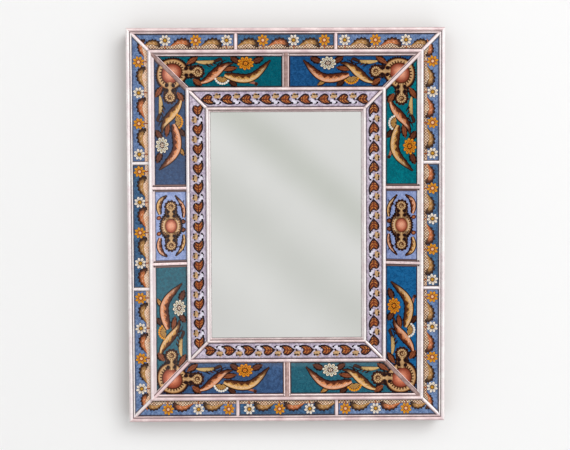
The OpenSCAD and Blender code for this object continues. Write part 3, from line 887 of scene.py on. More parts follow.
# A daisy's petal tip, root and outline, its eye and the eye's ring
WHITE_DAISY = [tint(*tone) for tone in (
    (255, 253, 250), (214, 172, 108), (96, 72, 52), (206, 148, 44), (92, 60, 22))]
ORANGE_DAISY = [tint(*tone) for tone in (
    (244, 172, 40), (190, 92, 14), (106, 50, 12), (246, 198, 150), (150, 60, 18))]
STALK = [(0, 0.5, 0.4), (0.5, 4, 1.3), (0, 8.5, 0.9)]
ARCH_OLIVE = (tint(212, 158, 92), tint(110, 66, 32))
ARCH_SALMON = (tint(228, 140, 84), tint(132, 54, 28))
# An arching leaf from its tail to its head: along, out from the ridge rail, and half its width
ARCH = [(-21, 6.8, 0.4), (-13.5, 11.2, 2.9), (-5, 15.8, 4.9), (3.5, 17.2, 5.8), (10.8, 15.4, 5.9),
        (16.2, 11.0, 4.8), (18.6, 5.8, 2.0)]
# The distance out from the ridge rail that a smaller leaf shrinks towards
ARCH_FOOT = 6.5
# The leaves by the mitres are smaller, and this far from the last daisy
CORNER_ARCH, CORNER_ARCH_SIZE = 27.5, 0.84


def outer_panels(side):
    """Each panel of the outer band: its place's name, where it starts and ends clockwise along its
    side, and where its daisies stand."""
    reach = half_length(side) - RIDGE_RAIL[0]
    joint = (OUTER_JOINT_X if side in ("top", "bottom") else OUTER_JOINT_Z) + PANE_GAP / 2
    corner_count = round((reach - joint) / DAISY_PITCH)
    near = [joint + DAISY_FROM_BAR + DAISY_PITCH * i for i in range(corner_count)]
    middle, at = [], joint - DAISY_TO_END[side]
    while at > DAISY_FROM_BAR - joint + DAISY_PITCH / 8:
        middle.insert(0, at)
        at -= DAISY_PITCH
    return [("start", -reach, -joint, [-at for at in reversed(near)]), ("middle", -joint, joint, middle),
            ("end", joint, reach, near)]


def lace(painting, start, end, humps, reach):
    """The crosshatched strip, with a hump under each leaf. reach is the side's half length at the
    ridge rail; beyond it the strip's ends follow the mitre."""
    def edge(share, out):
        mitre = reach + out
        low = -mitre if start == -reach else start + LACE_SHORT
        high = mitre if end == reach else end - LACE_SHORT
        return low + (high - low) * share

    rows = []
    for i in range(LACE_STEPS + 1):
        share = i / LACE_STEPS
        along = edge(share, LACE_H)
        top = LACE_H
        for hump in humps:
            off = (along - hump) / HUMP_HALF
            if abs(off) < 1:
                top = LACE_H + (HUMP_H - LACE_H) * math.cos(off * math.pi / 2) ** 0.7
        rows.append([((edge(share, out), out), CREAM) for out in (-1.0, top)])
    painting.grid(rows, 0, LACE)
    painting.ribbon([(*row[1][0], 0.28) for row in rows], RED_BROWN, 1, 1)


def arch_leaf(painting, at, light, deep, size):
    """A leaf arching over a hump: a thin tail, a body in dark teeth along its outer edge and a
    dark, bushy head."""
    spine = [(at + a * size, ARCH_FOOT + (b - ARCH_FOOT) * size, half * size) for a, b, half in ARCH]
    painting.scallops(spine, 1, 2.9 * size, 7, 2, 0.24, 0.98)
    painting.scallops(spine, -1, 2.0 * size, 3, 2, 0.72, 0.98)

    def shade(t, s):
        if s > 0.84 or s < -0.9:
            return DARK
        tooth = tooth_at(t, 6)
        dark = min(1.0, max(0.0, (s - 0.05 - 0.5 * tooth) * 5) + max(0.0, (t - 0.66) / 0.2))
        body = between(light, deep, min(1.0, max(0.0, s * 0.7 + 0.25) + 0.25 * tooth))
        return between(body, DARK, dark * 0.9)

    painting.stroke(spine, shade, 3, 7)
    path = curve(spine, 8)
    for n in range(5):
        a, b, half = path[12 + 5 * n]
        painting.line([(a - 2.2 * size, b - half * 0.1), (a + 1.8 * size, b - half * 0.5)], 0.55,
                      between(light, PEARL, 0.45) if n % 2 else deep, 4, 2)


def paint_outer_band(side):
    white = side in FIRST_WHITE
    reach = half_length(side) - RIDGE_RAIL[0]

    def lay(along, out):
        x, z = on_side(side, along, RIDGE_RAIL[0] - out)
        return x, OUTER_GLASS_H, z

    for place, start, end, daisies in outer_panels(side):
        slot = "glass_blue" if place == "middle" else "glass_sky"
        painting = Painting(f"outer_painting_{side}_{place}", slot, lay)
        gaps = [at - DAISY_PITCH / 2 for at in daisies]
        if end < reach:
            gaps.append(daisies[-1] + DAISY_PITCH / 2)
        humps = [(at, 1.0) for at in gaps if start + HUMP_HALF < at < end - HUMP_HALF]
        if start == -reach:
            humps = [h for h in humps if h[0] > daisies[0]] + [(daisies[0] - CORNER_ARCH, CORNER_ARCH_SIZE)]
        if end == reach:
            humps.append((daisies[-1] + CORNER_ARCH, CORNER_ARCH_SIZE))
        lace(painting, start, end, [at for at, _ in humps], reach)
        olive = side in ("top", "bottom") or end == reach
        for at, size in sorted(humps):
            arch_leaf(painting, at, *(ARCH_OLIVE if olive else ARCH_SALMON), size)
            olive = not olive
        for at in daisies:
            painting.stroke([(at + a, b, half) for a, b, half in STALK],
                            lambda t, s: between(ORANGE_DEEP, RED_BROWN, t), 2, 3, LINE_ACROSS)
            painting.flower((at, DAISY_OUT), DAISY_R, 8, WHITE_DAISY if white else ORANGE_DAISY, 5,
                            turn=painting.dice.uniform(0.1, 0.5))
            white = not white
        painting.build()


def steps_of(turn, count, start=0.0, offset=0.5):
    """The angles at the middles of count equal steps of a turn, or at their starts with offset 0."""
    return [start + turn * (i + offset) / count for i in range(count)]


# The sloping band: half a medallion and one arm of scrolling leaves on each side of every corner.
# The medallion's radii: its jewel, the jewel's rim, the collar round it and the dark edge
JEWEL_R, RIM_R, COLLAR_R, EDGE_R = 16.8, 18.4, 27.6, 29.4
# Each of its rings with its tone, or None on the jewel, which has its own shading
MEDALLION = [(0.6, None), (6.0, None), (10.0, None), (14.0, None), (JEWEL_R, None), (RIM_R, TIP_BROWN),
             (RIM_R + 0.5, DARK), (RIM_R + 1.2, TAN_DEEP), (RIM_R + 2.0, COLLAR_TAN),
             (RIM_R + 4.4, COLLAR_TAN), (COLLAR_R - 3.4, COLLAR_TAN), (COLLAR_R - 1.8, TAN),
             (COLLAR_R - 0.8, TAN_DEEP), (COLLAR_R, TIP_BROWN), (COLLAR_R + 0.6, DARK), (EDGE_R, DARK)]
MEDALLION_STEPS = 36
# Its jewel's highlight: the place, and how far round it the tone goes rosy
SHINE, SHINE_REACH = (1.0, 3.0), JEWEL_R / 1.3
# A tick on the collar: distances out from the rim, and half its width there
TICK = ((0.9, 1.1), (3.0, 1.45), (5.2, 0.7))
TICKS, EDGE_DOTS = 13, 21
# How far the medallion is drawn out along its arm, as a share of the distance from the mitre
DRAWN_OUT = 0.24
LOBE_RINGS = [(0, TAN_DEEP), (0.24, BROWN), (0.38, TIP_BROWN), (0.44, TAN), (0.56, TAN_LIGHT),
              (0.68, TAN_LIGHT), (0.76, TAN_DEEP), (0.82, TIP_BROWN), (0.88, DARK), (1, DARK)]
LOBE_DOTS, LOBE_LINES = 11, 13
# The waist between a medallion and its lobes: its tones from its middle to its sides, half its
# width at distances from the medallion's middle, and the same of the pale cross that lies on it
NECK_TONES = (tint(186, 136, 90), tint(92, 58, 42))
NECK = ((18, 14.6), (27, 13.2), (36, 12.6), (46, 12.6))
NECK_CROSS = ((22, 5.0), (28, 2.4), (33.5, 4.6), (38.5, 2.2), (43, 4.6))
# Its dark holes: their distances from the medallion's middle and from the waist's own, and sizes
NECK_HOLES, HOLE_OUT, HOLE_LONG, HOLE_WIDE = (28.2, 38.4), 6.6, 4.2, 3.7
# The dots along its sides: their distances from the medallion's middle, from its own, and size
NECK_DOTS, DOT_OUT, DOT_R = (26.0, 32.0, 38.0), 12.4, 2.2

# Light and dark tones of leaves and buds
ARM_GOLD = (tint(236, 178, 100), tint(134, 80, 36))
ARM_SALMON = (tint(238, 156, 104), tint(146, 64, 36))
ARM_BROWN = (tint(178, 100, 62), tint(88, 42, 26))
THIN_TONES = (tint(222, 184, 122), OLIVE_DEEP)
FLOWER_BUD = tint(128, 72, 50)

# One arm's shapes. a runs from the medallion's middle away from the corner, and b across towards
# the flower. Leaves: a, b and half width along their spines
FIRST_LEAF = [(58, -21.5, 2.4), (70, -16.5, 5.4), (81, -8.5, 7.8), (92, 0.5, 7.8), (103, 9, 5.6),
              (114, 14.6, 2.8), (125, 16.5, 0.3)]
SECOND_LEAF = [(107, -6.5, 3.0), (119, -9.5, 6.4), (132, -12.4, 7.8), (145, -13.8, 8.0),
               (158, -12.6, 7.6), (172, -5.5, 6.8), (185, 6.0, 5.0), (194, 15.2, 2.4), (201, 22.5, 0.3)]
THIN_LEAF = [(48, 20.5, 1.2), (56, 19, 3.2), (66, 18.3, 4.4), (76, 18.6, 4.2), (86, 20, 3.2), (95, 23, 2.2)]
THIN_TIP = [(86, 20, 2.4), (93, 22.5, 3.4), (99, 24.5, 3.2), (102, 21.5, 1.6), (100.5, 18.5, 0.4)]
SALMON_STALK = [(152, -18, 3.2), (160, -20.4, 3.2), (168, -22.8, 2.6), (173, -25, 2.0)]
# The fan's rings, as shares of its radius with their tones, and one of its gold strokes
FAN_RINGS = [(0.35, BROWN), (0.7, TAN_DEEP), (0.84, BROWN), (0.95, DARK)]
FAN_STROKE = ((0.2, 0.3), (0.6, 0.7), (0.82, 0.5))
# The open flower: its middle, its half sizes, its turn, and its two sets of tones
FLOWER, FLOWER_LONG, FLOWER_WIDE, FLOWER_TURN = (150.4, 16.3), 17.8, 13.6, 0.16
WHITE_FLOWER = [tint(*tone) for tone in (
    (250, 246, 230), (172, 146, 104), (70, 46, 34), (150, 92, 50), (84, 50, 36))]
ORANGE_FLOWER = [tint(*tone) for tone in (
    (246, 170, 46), (190, 84, 20), (104, 40, 14), (196, 92, 26), (104, 46, 20))]


def jewel_tone(point, shine, spread, wide, long):
    """A jewel's tone at a point from its middle: light at its shine, going rosy within the spread
    round it, and dark towards its rim."""
    off = math.hypot(point[0] - shine[0], point[1] - shine[1]) / spread
    rim = math.hypot(point[0] / wide, point[1] / long)
    return between(between(JEWEL_LIGHT, ROSE, min(1.0, off)), RED_BROWN, held((rim - 0.5) * 2.0))


def scroll_leaf(painting, spine, tones, layer, teeth, side=1, tip_from=0.66):
    """A scrolling leaf: light along one edge, cut into dark teeth along the other, with a dark tip
    and a dark outline all round."""
    light, deep = tones
    painting.scallops(spine, side, 3.2, teeth, layer, 0.14, 0.86)
    painting.ribbon([(a, b, half + 1.5) for a, b, half in spine], DARK, layer, 8)

    def shade(t, s):
        s *= side
        tooth = tooth_at(t, teeth)
        body = between(light, deep, min(1.0, max(0.0, 0.1 + 0.75 * s) + 0.1 * tooth))
        if -0.8 < s < -0.4:
            body = between(body, PEARL, 0.2)
        body = between(body, between(deep, TIP_BROWN, 0.8), held((s + 0.1 - 0.6 * tooth) * 6))
        return between(body, TIP_BROWN, held((t - tip_from) / (0.86 - tip_from)) * 0.95)

    painting.stroke(spine, outlined(shade, 0.86), layer + 1, 12)
    path = curve(spine, 10)
    count = len(path)
    strokes = 2 * teeth - 1
    for n in range(strokes):
        first = int(count * (0.1 + 0.66 * n / strokes))
        (a, b, half), (c, d, further) = path[first], path[min(first + 6, count - 1)]
        tone = TIP_BROWN if n % 2 else between(light, PEARL, 0.4)
        start, end = (0.55, -0.35) if n % 2 else (-0.1, -0.6)
        painting.line([(a, b + side * half * start), (c, d + side * further * end)], 0.75, tone, layer + 2, 3)


def half_medallion(painting, start, layer):
    """The corner medallion's half that lies on this side, from angle start over half a turn: a
    jewel with a highlight, its rim, and a collar with dark ticks."""
    def egg(r, angle):
        a, b = on_oval((0, 0), angle, r)
        return a + DRAWN_OUT * r * math.sin(angle - start), b

    rows = []
    for i in range(MEDALLION_STEPS + 1):
        angle = start + math.pi * i / MEDALLION_STEPS
        jewel = [jewel_tone(on_oval((0, 0), angle, r), SHINE, SHINE_REACH, JEWEL_R, JEWEL_R)
                 for r, _ in MEDALLION]
        rows.append([(egg(r, angle), tone or shaded) for (r, tone), shaded in zip(MEDALLION, jewel)])
    painting.grid(rows, layer)
    for angle in steps_of(math.pi, TICKS, start):
        painting.ribbon([(*egg(RIM_R + out, angle), half) for out, half in TICK], TIP_BROWN, layer + 1, 2)
    for angle in steps_of(math.pi, EDGE_DOTS, start):
        painting.disc(egg(EDGE_R, angle), 2.3, DARK, layer - 1, count=9)


def lobe(painting, centre, radius, layer):
    """A scalloped lobe: a cream ring cut by fine brown lines, round a brown eye with a curl."""
    for angle in steps_of(math.tau, LOBE_DOTS):
        painting.disc(on_oval(centre, angle, radius), radius * 0.29, DARK, layer, TIP_BROWN, 11)
    painting.spot(oval(centre, radius * 1.08, radius * 1.08, count=24), LOBE_RINGS, layer + 1, centre)
    for angle in steps_of(math.tau, LOBE_LINES, offset=0):
        painting.line([on_oval(centre, angle, radius * r) for r in (0.84, 0.48)], radius * 0.085, BROWN,
                      layer + 2, 1)
    painting.line([on_oval(centre, 0.7 * i, radius * (0.06 + 0.032 * i)) for i in range(8, -1, -1)],
                  radius * 0.07, TAN_LIGHT, layer + 3, 2)


def neck(painting, at, layer, over):
    """The waist between a medallion and a lobe: tan, open to both, with four dark holes. Its pale
    cross and its holes lie in the layers from over up. at(a, b) places a point that lies a from
    the medallion's middle and b beside the neck's line."""
    for a in NECK_DOTS:
        for side in (1, -1):
            painting.disc(at(a, side * DOT_OUT), DOT_R, DARK, layer, count=10)
    painting.stroke([(*at(a, 0), half) for a, half in NECK],
                    outlined(lambda t, s: between(*NECK_TONES, s * s)), layer + 1)
    painting.stroke([(*at(a, 0), half) for a, half in NECK_CROSS],
                    lambda t, s: between(TAN_LIGHT, TAN_DEEP, abs(s) * 0.7), over, 4)
    for a in NECK_HOLES:
        for side in (1, -1):
            painting.spot([at(p, side * q) for p, q in oval((a, HOLE_OUT), HOLE_LONG, HOLE_WIDE, 0.35)],
                          [(0, DARK), (0.8, DARK), (1, TIP_BROWN)], over + 1, at(a, side * HOLE_OUT))
    for b in (1.6, -1.6):
        painting.line([at(22, b * 1.5), at(31, b * 0.6), at(43, b * 1.5)], 0.5, TAN_DEEP, over + 1)


def half_daisy(painting, centre, radius, layer, pearl):
    """A fan of gold strokes with round pearls along its rim, opening away from the leaves."""
    start, turn, strokes, steps = math.radians(192), math.radians(156), 9, 16
    rows = []
    for i in range(steps + 1):
        angle = start + turn * i / steps
        rows.append([(on_oval(centre, angle, 1.0), DARK)]
                    + [(on_oval(centre, angle, radius * share), color) for share, color in FAN_RINGS])
    painting.grid(rows, layer)
    for angle in steps_of(turn, strokes, start):
        painting.ribbon([(*on_oval(centre, angle, radius * r), half) for r, half in FAN_STROKE], GOLD,
                        layer + 1, 2)
    for angle in steps_of(turn, strokes, start):
        painting.disc(on_oval(centre, angle, radius), 2.4, pearl, layer + 2, between(pearl, BROWN, 0.25), 10)


def full_flower(painting, white, layer):
    """The arm's open flower: a ring of rounded petals, each with its own dark line, and a dotted
    eye."""
    tones = WHITE_FLOWER if white else ORANGE_FLOWER
    petals = 10
    painting.flower(FLOWER, FLOWER_LONG, petals, tones, layer, FLOWER_WIDE / FLOWER_LONG, FLOWER_TURN,
                    False, 0.85)
    for angle in steps_of(math.tau, petals, FLOWER_TURN, 0):
        painting.disc(on_oval(FLOWER, angle, FLOWER_LONG * 0.4, FLOWER_WIDE * 0.4), 1.3, tones[0], layer + 5,
                      tones[2], 8)
    for angle in steps_of(math.tau, 5, 0.3, 0):
        painting.disc(on_oval(FLOWER, angle, FLOWER_LONG * 0.16, FLOWER_WIDE * 0.16), 1.1, tones[0],
                      layer + 6, count=7)


def paint_arm(painting, variant_a):
    """One arm of the sloping band's ornament."""
    first, second = (ARM_SALMON, ARM_GOLD) if variant_a else (ARM_GOLD, ARM_SALMON)
    neck(painting, lambda a, b: (a, b), 2, 11)
    lobe(painting, (52, 0), 11.6, 8)
    # Buds on both sides of the neck
    painting.bud((30, 15), (53.5, 29), 13.5, *ARM_BROWN, 9)
    painting.bud((41.5, -14.5), (60.5, -27), 15, *ARM_BROWN, 9)
    painting.line([(59, -16), (66, -19), (71, -14)], 1.3, DARK, 3)
    # The thin leaf along the flower's side
    painting.scallops(THIN_LEAF, -1, 1.7, 5, 2, 0.45, 0.8)
    painting.stroke(THIN_LEAF, outlined(lambda t, s: DARK if t > 0.88 else between(
        *THIN_TONES, max(0.0, t - 0.45) + 0.3 * abs(s))), 3, 6)
    painting.stroke(THIN_TIP, lambda t, s: between(BROWN, DARK, 0.4 + 0.6 * abs(s)), 4, 5)
    painting.line([(84, 19), (89, 15.5), (95, 15)], 1.9, DARK, 3)
    painting.line([(70, 16), (74, 11.5), (79, 9.5)], 2.2, DARK, 3)
    painting.line([(78, 16.5), (83, 12.5), (86, 12.5)], 1.6, TIP_BROWN, 3)
    # The first scrolling leaf and the bud beside its tip
    scroll_leaf(painting, FIRST_LEAF, first, 11, 5)
    painting.bud((103, 3), (134, 8), 12, *ARM_BROWN, 10)
    painting.line([(99, 14), (105, 20.5), (112, 23)], 1.6, DARK, 9)
    painting.line([(92, 10.5), (96, 16.5), (102, 18.5)], 1.6, DARK, 9)
    half_daisy(painting, (102, -9.0), 15.0, 12, PEARL if variant_a else ORANGE)
    # The second scrolling leaf
    scroll_leaf(painting, SECOND_LEAF, second, 15, 7, tip_from=0.62)
    painting.bud((114, -15), (132.5, -30), 12, TIP_BROWN, BROWN, 13)
    painting.line([(124, -13.5), (121, -19.5), (117, -22.5)], 1.4, DARK, 13)
    if variant_a:
        painting.stroke(SALMON_STALK, outlined(lambda t, s: between(SALMON, RED_BROWN, t)), 14)
        painting.disc((171.6, -24.6), 3.6, DARK, 14, BROWN)
    else:
        painting.bud((153, -17.5), (172, -27.5), 10, *ARM_GOLD, 14)
    # The flower between its two buds
    painting.bud((138.5, 17.5), (119, 28.5), 13.5, FLOWER_BUD, TIP_BROWN, 13)
    painting.bud((162.5, 17.5), (187.5, 27), 13.5, FLOWER_BUD, TIP_BROWN, 13)
    full_flower(painting, not variant_a, 18)


# Each arm, by its panel: whether it lies at its side's start (-1) or end (1), clockwise, whether it
# is of the first kind, and how far from the corner it is set, in mm
ARMS = {
    "top_left": (-1, True, 5.0), "top_right": (1, False, 0.5),
    "right_top": (-1, True, 3.5), "right_bottom": (1, True, -1.0),
    "bottom_right": (-1, False, -2.0), "bottom_left": (1, True, 1.0),
    "left_bottom": (-1, False, -3.0), "left_top": (1, False, -0.5),
}
WIDE_MIDDLE = (RIDGE_RAIL[1] + MIDDLE_RAIL[0]) / 2
# How much nearer to the ridge rail the lower arms lie, and how far in the upper medallions are set
LOWER_SET = -1.5
UPPER_SET_IN = 2.5


def paint_arms():
    for panel, (sign, variant_a, shift) in ARMS.items():
        side = panel.split("_")[0]
        upper = "top" in panel
        towards = -1 if upper else 1
        middle = WIDE_MIDDLE + (0 if upper else LOWER_SET)
        set_in = UPPER_SET_IN if upper else 0.0
        reach = half_length(side) - middle

        def place(along, inward):
            x, z = on_side(side, sign * along, inward)
            return x, wide_level(inward), z

        painting = Painting(f"wide_painting_{panel}", NODES[f"wide_glass_{panel}"]["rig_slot"])
        painting.lay = lambda a, b: place(reach - shift - a, middle + towards * b)
        paint_arm(painting, variant_a)
        painting.lay = lambda a, b: place(reach - set_in - a, middle + set_in + towards * b)
        half_medallion(painting, math.radians(-45 if upper else -135), 4)
        painting.build()


# The upright sides' middle panels: an oval medallion with a lobe above and below. a runs towards
# the frame's outer edge and b upwards
OVAL_LONG, OVAL_WIDE = 29.4, 22.4
BEIGE = between(TAN_LIGHT, CREAM, 0.4)
OVAL_RINGS = [(0, TAN), (0.5, TAN_DEEP), (0.58, TAN), (0.66, BEIGE), (0.8, TAN), (0.86, TIP_BROWN),
              (0.9, DARK), (1, DARK)]
OVAL_TICK = ((0.68, 0.4), (0.76, 0.95), (0.83, 0.6))
OVAL_DOTS, OVAL_TICKS = 34, 28
# Its jewel's half sizes up and across, its shading's across and up, and its highlight
OVAL_JEWEL, OVAL_SHADE = (14.6, 11.7), (11.2, 14.0)
OVAL_SHINE, OVAL_SHINE_REACH = (0, 1), 11
# The berries beside it: how far out and how high they lie, their half sizes and their turn
BERRY_OUT, BERRY_HEIGHTS, BERRY = 24.0, (17.0, -15.5), (5.0, 4.4, 0.5)
BERRY_RINGS = [(0, TAN), (0.4, ARM_BROWN[0]), (0.64, RED_BROWN), (0.8, DARK), (1, DARK)]
# Its four leaves: their spines, greatest half width, and whether they have the outer tones
OVAL_LEAVES = [([(-25.0, 17), (-25.6, 28), (-23.8, 39), (-18.2, 50), (-8.2, 63)], 3.2, False),
               ([(21.6, 24), (23.6, 34), (23.0, 45), (18.0, 55), (7.6, 63)], 4.5, True),
               ([(-25.0, -18), (-25.4, -29), (-23.4, -40), (-18.0, -51), (-8.4, -62)], 3.2, True),
               ([(21.6, -24), (23.8, -35), (22.8, -46), (17.4, -56), (7.6, -63)], 4.5, False)]
OVAL_LEAF_WIDTHS = (0.4, 0.86, 1.0, 0.74, 0.08)
OVAL_CURLS = [([(-20.0, 43.5), (-23.8, 47.0), (-25.4, 53.0)], 2.2),
              ([(-20.0, 41.0), (-16.4, 43.6), (-14.2, 41.6)], 2.4),
              ([(-24.0, 26), (-21.4, 28.5), (-21.8, 31)], 1.6)]


def paint_oval_panel(side):
    out = -1 if side == "left" else 1

    def lay(a, b):
        inward = WIDE_MIDDLE - out * a
        x, z = on_side(side, -out * b, inward)
        return x, wide_level(inward), z

    painting = Painting(f"wide_painting_{side}_middle", "glass_lavender", lay)
    for sign in (1, -1):
        neck(painting, lambda a, b: (b * 0.92, sign * (a * 0.84 - 3.0)), 3, 12)
        lobe(painting, (0, sign * 40.0), 10.8, 9)
    for angle in steps_of(math.tau, OVAL_DOTS, offset=0):
        painting.disc(on_oval((0, 0), angle, OVAL_WIDE, OVAL_LONG), 1.7, DARK, 3, count=9)
    painting.spot(oval((0, 0), OVAL_LONG, OVAL_WIDE, math.pi / 2, 40), OVAL_RINGS, 4, (0, 0))
    for angle in steps_of(math.tau, OVAL_TICKS):
        painting.ribbon([(*on_oval((0, 0), angle, OVAL_WIDE * r, OVAL_LONG * r), half)
                         for r, half in OVAL_TICK], TIP_BROWN, 5, 2)

    def jewel(point):
        return jewel_tone(point, OVAL_SHINE, OVAL_SHINE_REACH, *OVAL_SHADE)

    painting.spot(oval((0, 0), *OVAL_JEWEL, math.pi / 2, 30),
                  [(share, jewel) for share in (0, 0.3, 0.55, 0.75, 0.9)] + [(1, DARK)], 6, (0, 0))
    for b in BERRY_HEIGHTS:
        painting.spot(oval((BERRY_OUT * out, b), *BERRY, 14), BERRY_RINGS, 2, (BERRY_OUT * out, b))
    for b, tip in ((9.0, 8.0), (-8.5, -8.0)):
        painting.bud((-17 * out, b), (-29.6 * out, tip), 10.5, *ARM_BROWN, 2)
    for places, widest, outer in OVAL_LEAVES:
        spine = [(a * out, b, widest * share) for (a, b), share in zip(places, OVAL_LEAF_WIDTHS)]
        tones = ARM_SALMON if outer == (out > 0) else ARM_GOLD
        scroll_leaf(painting, spine, tones, 2, 4, 1 if (spine[2][0] > 0) == (spine[2][1] > 0) else -1)
    for up in (1, -1):
        for curl, half in OVAL_CURLS:
            painting.line([(a * out, b * up) for a, b in curl], half, DARK, 1)
    painting.build()


# The inner band: heart-shaped leaves in a row, with a bud and small dots between them
HEART_PITCH = {"top": 40.0, "right": 40.2, "bottom": 40.4, "left": 40.2}
HEART_SHIFT = {"top": 0.55, "right": -1.65, "bottom": 1.5, "left": 2.35}
# How much of a side's length is kept free of hearts, and how far a gap's shapes are set along
ROW_FREE, GAP_SET = 26, 0.2
HEART = curve([(14.4, 1.0), (9.0, 6.4), (2.0, 10.6), (-6.0, 12.0), (-12.6, 10.4), (-11.0, 5.4), (-7.6, 1.2),
               (-9.6, -3.2), (-7.6, -8.4), (-1.6, -11.0), (5.0, -9.0), (10.4, -4.0)], 3, True)
HEART_BODY = (tint(138, 60, 26), tint(106, 44, 20))
HEART_RIM = tint(88, 38, 24)
HEART_GOLD = (tint(192, 106, 46), tint(230, 154, 74))
# A heart's golden veins: where they leave the midrib, and how far they reach out and back
HEART_VEINS = ((7.4, 4.4, -1.6), (3.2, 7.4, -4.2), (-2.0, 7.0, -6.0))
# Between two hearts: the bud, its small leaf and the pale curl, each with its tones, how fast it
# goes from one to the other and its places across; then the vein, the dots and the brush lines
BEIGE_TONES = (tint(240, 200, 148), tint(150, 98, 56))
PALE_TONES = (tint(236, 232, 246),) * 2
GAP_STROKES = [
    ([(-7.0, -4.2, 1.0), (-2.6, -5.6, 4.4), (2.6, -5.0, 4.2), (7.4, -2.6, 0.6)], BEIGE_TONES, 0.8, ACROSS),
    ([(-2.0, -8.0, 0.6), (1.4, -10.0, 2.4), (5.6, -9.4, 0.4)], BEIGE_TONES, 0.5, LINE_ACROSS),
    ([(6.6, 1.2, 0.5), (3.4, 5.0, 3.0), (-0.8, 7.4, 3.0), (-5.0, 6.0, 0.6)], PALE_TONES, 0.0, LINE_ACROSS),
]
GAP_VEIN = [(-6.4, -4.4), (-1.0, -6.2), (6.4, -3.4)]
GAP_DOTS = ((-4.8, -9.2, 2.2), (-1.6, 0.8, 2.2), (5.6, 8.6, 2.4), (-5.8, 7.6, 2.2), (7.0, -7.4, 1.8))
GAP_LINES = [([(-5.8, 7.6), (-3.0, 10.4), (1.4, 10.8)], 1.4, INK),
             ([(5.6, 8.6), (8.8, 6.6), (9.0, 2.6)], 1.4, INK),
             ([(-8.6, 3.6), (-5.4, 1.6), (-1.6, 0.8)], 1.0, INK),
             ([(-1.6, 0.8), (1.4, -1.0), (4.6, -0.4)], 0.9, BROWN)]


def paint_heart(painting, at):
    """One heart-shaped leaf, its tip along +a: a dark outline, red-brown inside, golden veins."""
    dice = painting.dice
    body = between(*HEART_BODY, dice.random())
    painting.spot([(at + a, b) for a, b in HEART],
                  [(0, body), (0.5, body), (0.72, HEART_RIM), (0.82, INK), (1, INK)], 1, (at + 0.5, 0.5))

    def gold():
        return between(*HEART_GOLD, dice.random())

    painting.line([(at + 11, 1.0), (at + 3, 0.6), (at - 6.0, 0.8)], 0.55, INK, 3)
    for side, lobe_back in ((1, 1.35), (-1, 1.0)):
        for root, reach, back in HEART_VEINS:
            bend = dice.uniform(0.45, 0.75)
            painting.line([(at + root + back * share, 0.8 + side * out) for share, out in (
                (0, 1.4), (0.35, reach * bend), (lobe_back, reach))], 0.85, gold(), 2, 3)
    for _ in range(4):
        a, b = dice.uniform(-6, 5), dice.uniform(-6.5, 8)
        painting.disc((at + a, b), 0.7, gold(), 4, count=6)


def paint_between_hearts(painting, at):
    """A beige bud, a pale curl and dark dots, behind a leaf's notch."""
    for spine, tones, fall, across in GAP_STROKES:
        painting.stroke([(at + a, b, half) for a, b, half in spine],
                        lambda t, s: between(*tones, abs(s) * fall), 1, 4, across)
    painting.line([(at + a, b) for a, b in GAP_VEIN], 0.55, BROWN, 2, 3)
    for a, b, r in GAP_DOTS:
        painting.disc((at + a, b), r, INK, 2, count=9)
    for points, half, color in GAP_LINES:
        painting.line([(at + a, b) for a, b in points], half, color, 2, 3)


def paint_inner_band(side):
    """The row runs counter-clockwise, so +a is against the way round."""
    middle = (MIDDLE_RAIL[1] + SIGHT_RAIL[0]) / 2
    reach = half_length(side) - middle

    def lay(a, b):
        x, z = on_side(side, -a, middle + b)
        return x, INNER_GLASS_H, z

    painting = Painting(f"inner_painting_{side}", "glass_lavender", lay)
    pitch = HEART_PITCH[side]
    count = int((2 * reach - ROW_FREE) // pitch) + 1
    first = HEART_SHIFT[side] - pitch * (count - 1) / 2
    for i in range(count):
        paint_heart(painting, first + pitch * i)
        if i:
            paint_between_hearts(painting, first + pitch * (i - 0.5) + GAP_SET)
    painting.build()


for side in SIDES:
    paint_outer_band(side)
paint_arms()
for side in ("left", "right"):
    paint_oval_panel(side)
for side in SIDES:
    paint_inner_band(side)


# The camera, the stage and the light
LENS, SENSOR = 72.7, 36
# The camera's place in mm and its yaw, pitch and roll in degrees, found from the frame's lines
CAMERA_PLACE = (-25.8, -2400, 109.3)
CAMERA_TURN = (0.557, -2.616, -0.245)
WALL_TONE = (0.92, 0.92, 0.92, 1)
# The wall's gap behind the frame and the floor's height, in metres
WALL_GAP, FLOOR_Z = 0.0005, -1.3
# Even light from ahead, what the sides add to it, and what is missing overhead and below
ROOM_TONE = (1.0, 0.995, 0.99, 1)
ROOM_AHEAD, ROOM_SIDES, ROOM_HEIGHT = 0.64, 0.36, -0.34
# The mirror's slanting bands: the darkest one's place as tangents from straight ahead, bands per
# tangent, and the bands' tones, where 1 is a whole band away
BAND_PLACE = (-0.0096, 0.0321)
BAND_STEPS = (9.6, 11.5)
BAND_REACH = (-3.0, 2.0)
BAND_TONES = [(-2.2, (227, 227, 225)), (-1.6, (235, 235, 233)), (-1.0, (220, 221, 217)),
              (-0.42, (235, 235, 233)), (0.0, (215, 217, 211)), (0.42, (235, 235, 233)),
              (1.0, (238, 238, 236))]
# How bright the room is in gloss, by the direction's part along X and along Z
GLOSS_ACROSS = [(-1.0, 1.0), (-0.85, 0.9), (-0.66, 0.06), (-0.5, 0.06), (-0.3, 2.0), (-0.16, 1.0),
                (0.16, 1.0), (0.3, 2.0), (0.5, 0.6), (0.7, 0.55), (1.0, 1.0)]
GLOSS_UPRIGHT = [(-1.0, 0.45), (-0.68, 0.04), (-0.5, 0.04), (-0.3, 1.2), (-0.18, 1.0), (0.18, 1.0),
                 (0.3, 1.8), (0.45, 0.2), (0.533, 0.12), (0.54, 0.3), (0.62, 0.36), (1.0, 0.5)]
# The least of it, by the lesser of the direction's parts along X and along Z: only views from
# aslant see this in the mirror
GLOSS_ASLANT = [(0.0, 0.0), (0.22, 0.0), (0.36, 0.8), (1.0, 0.8)]


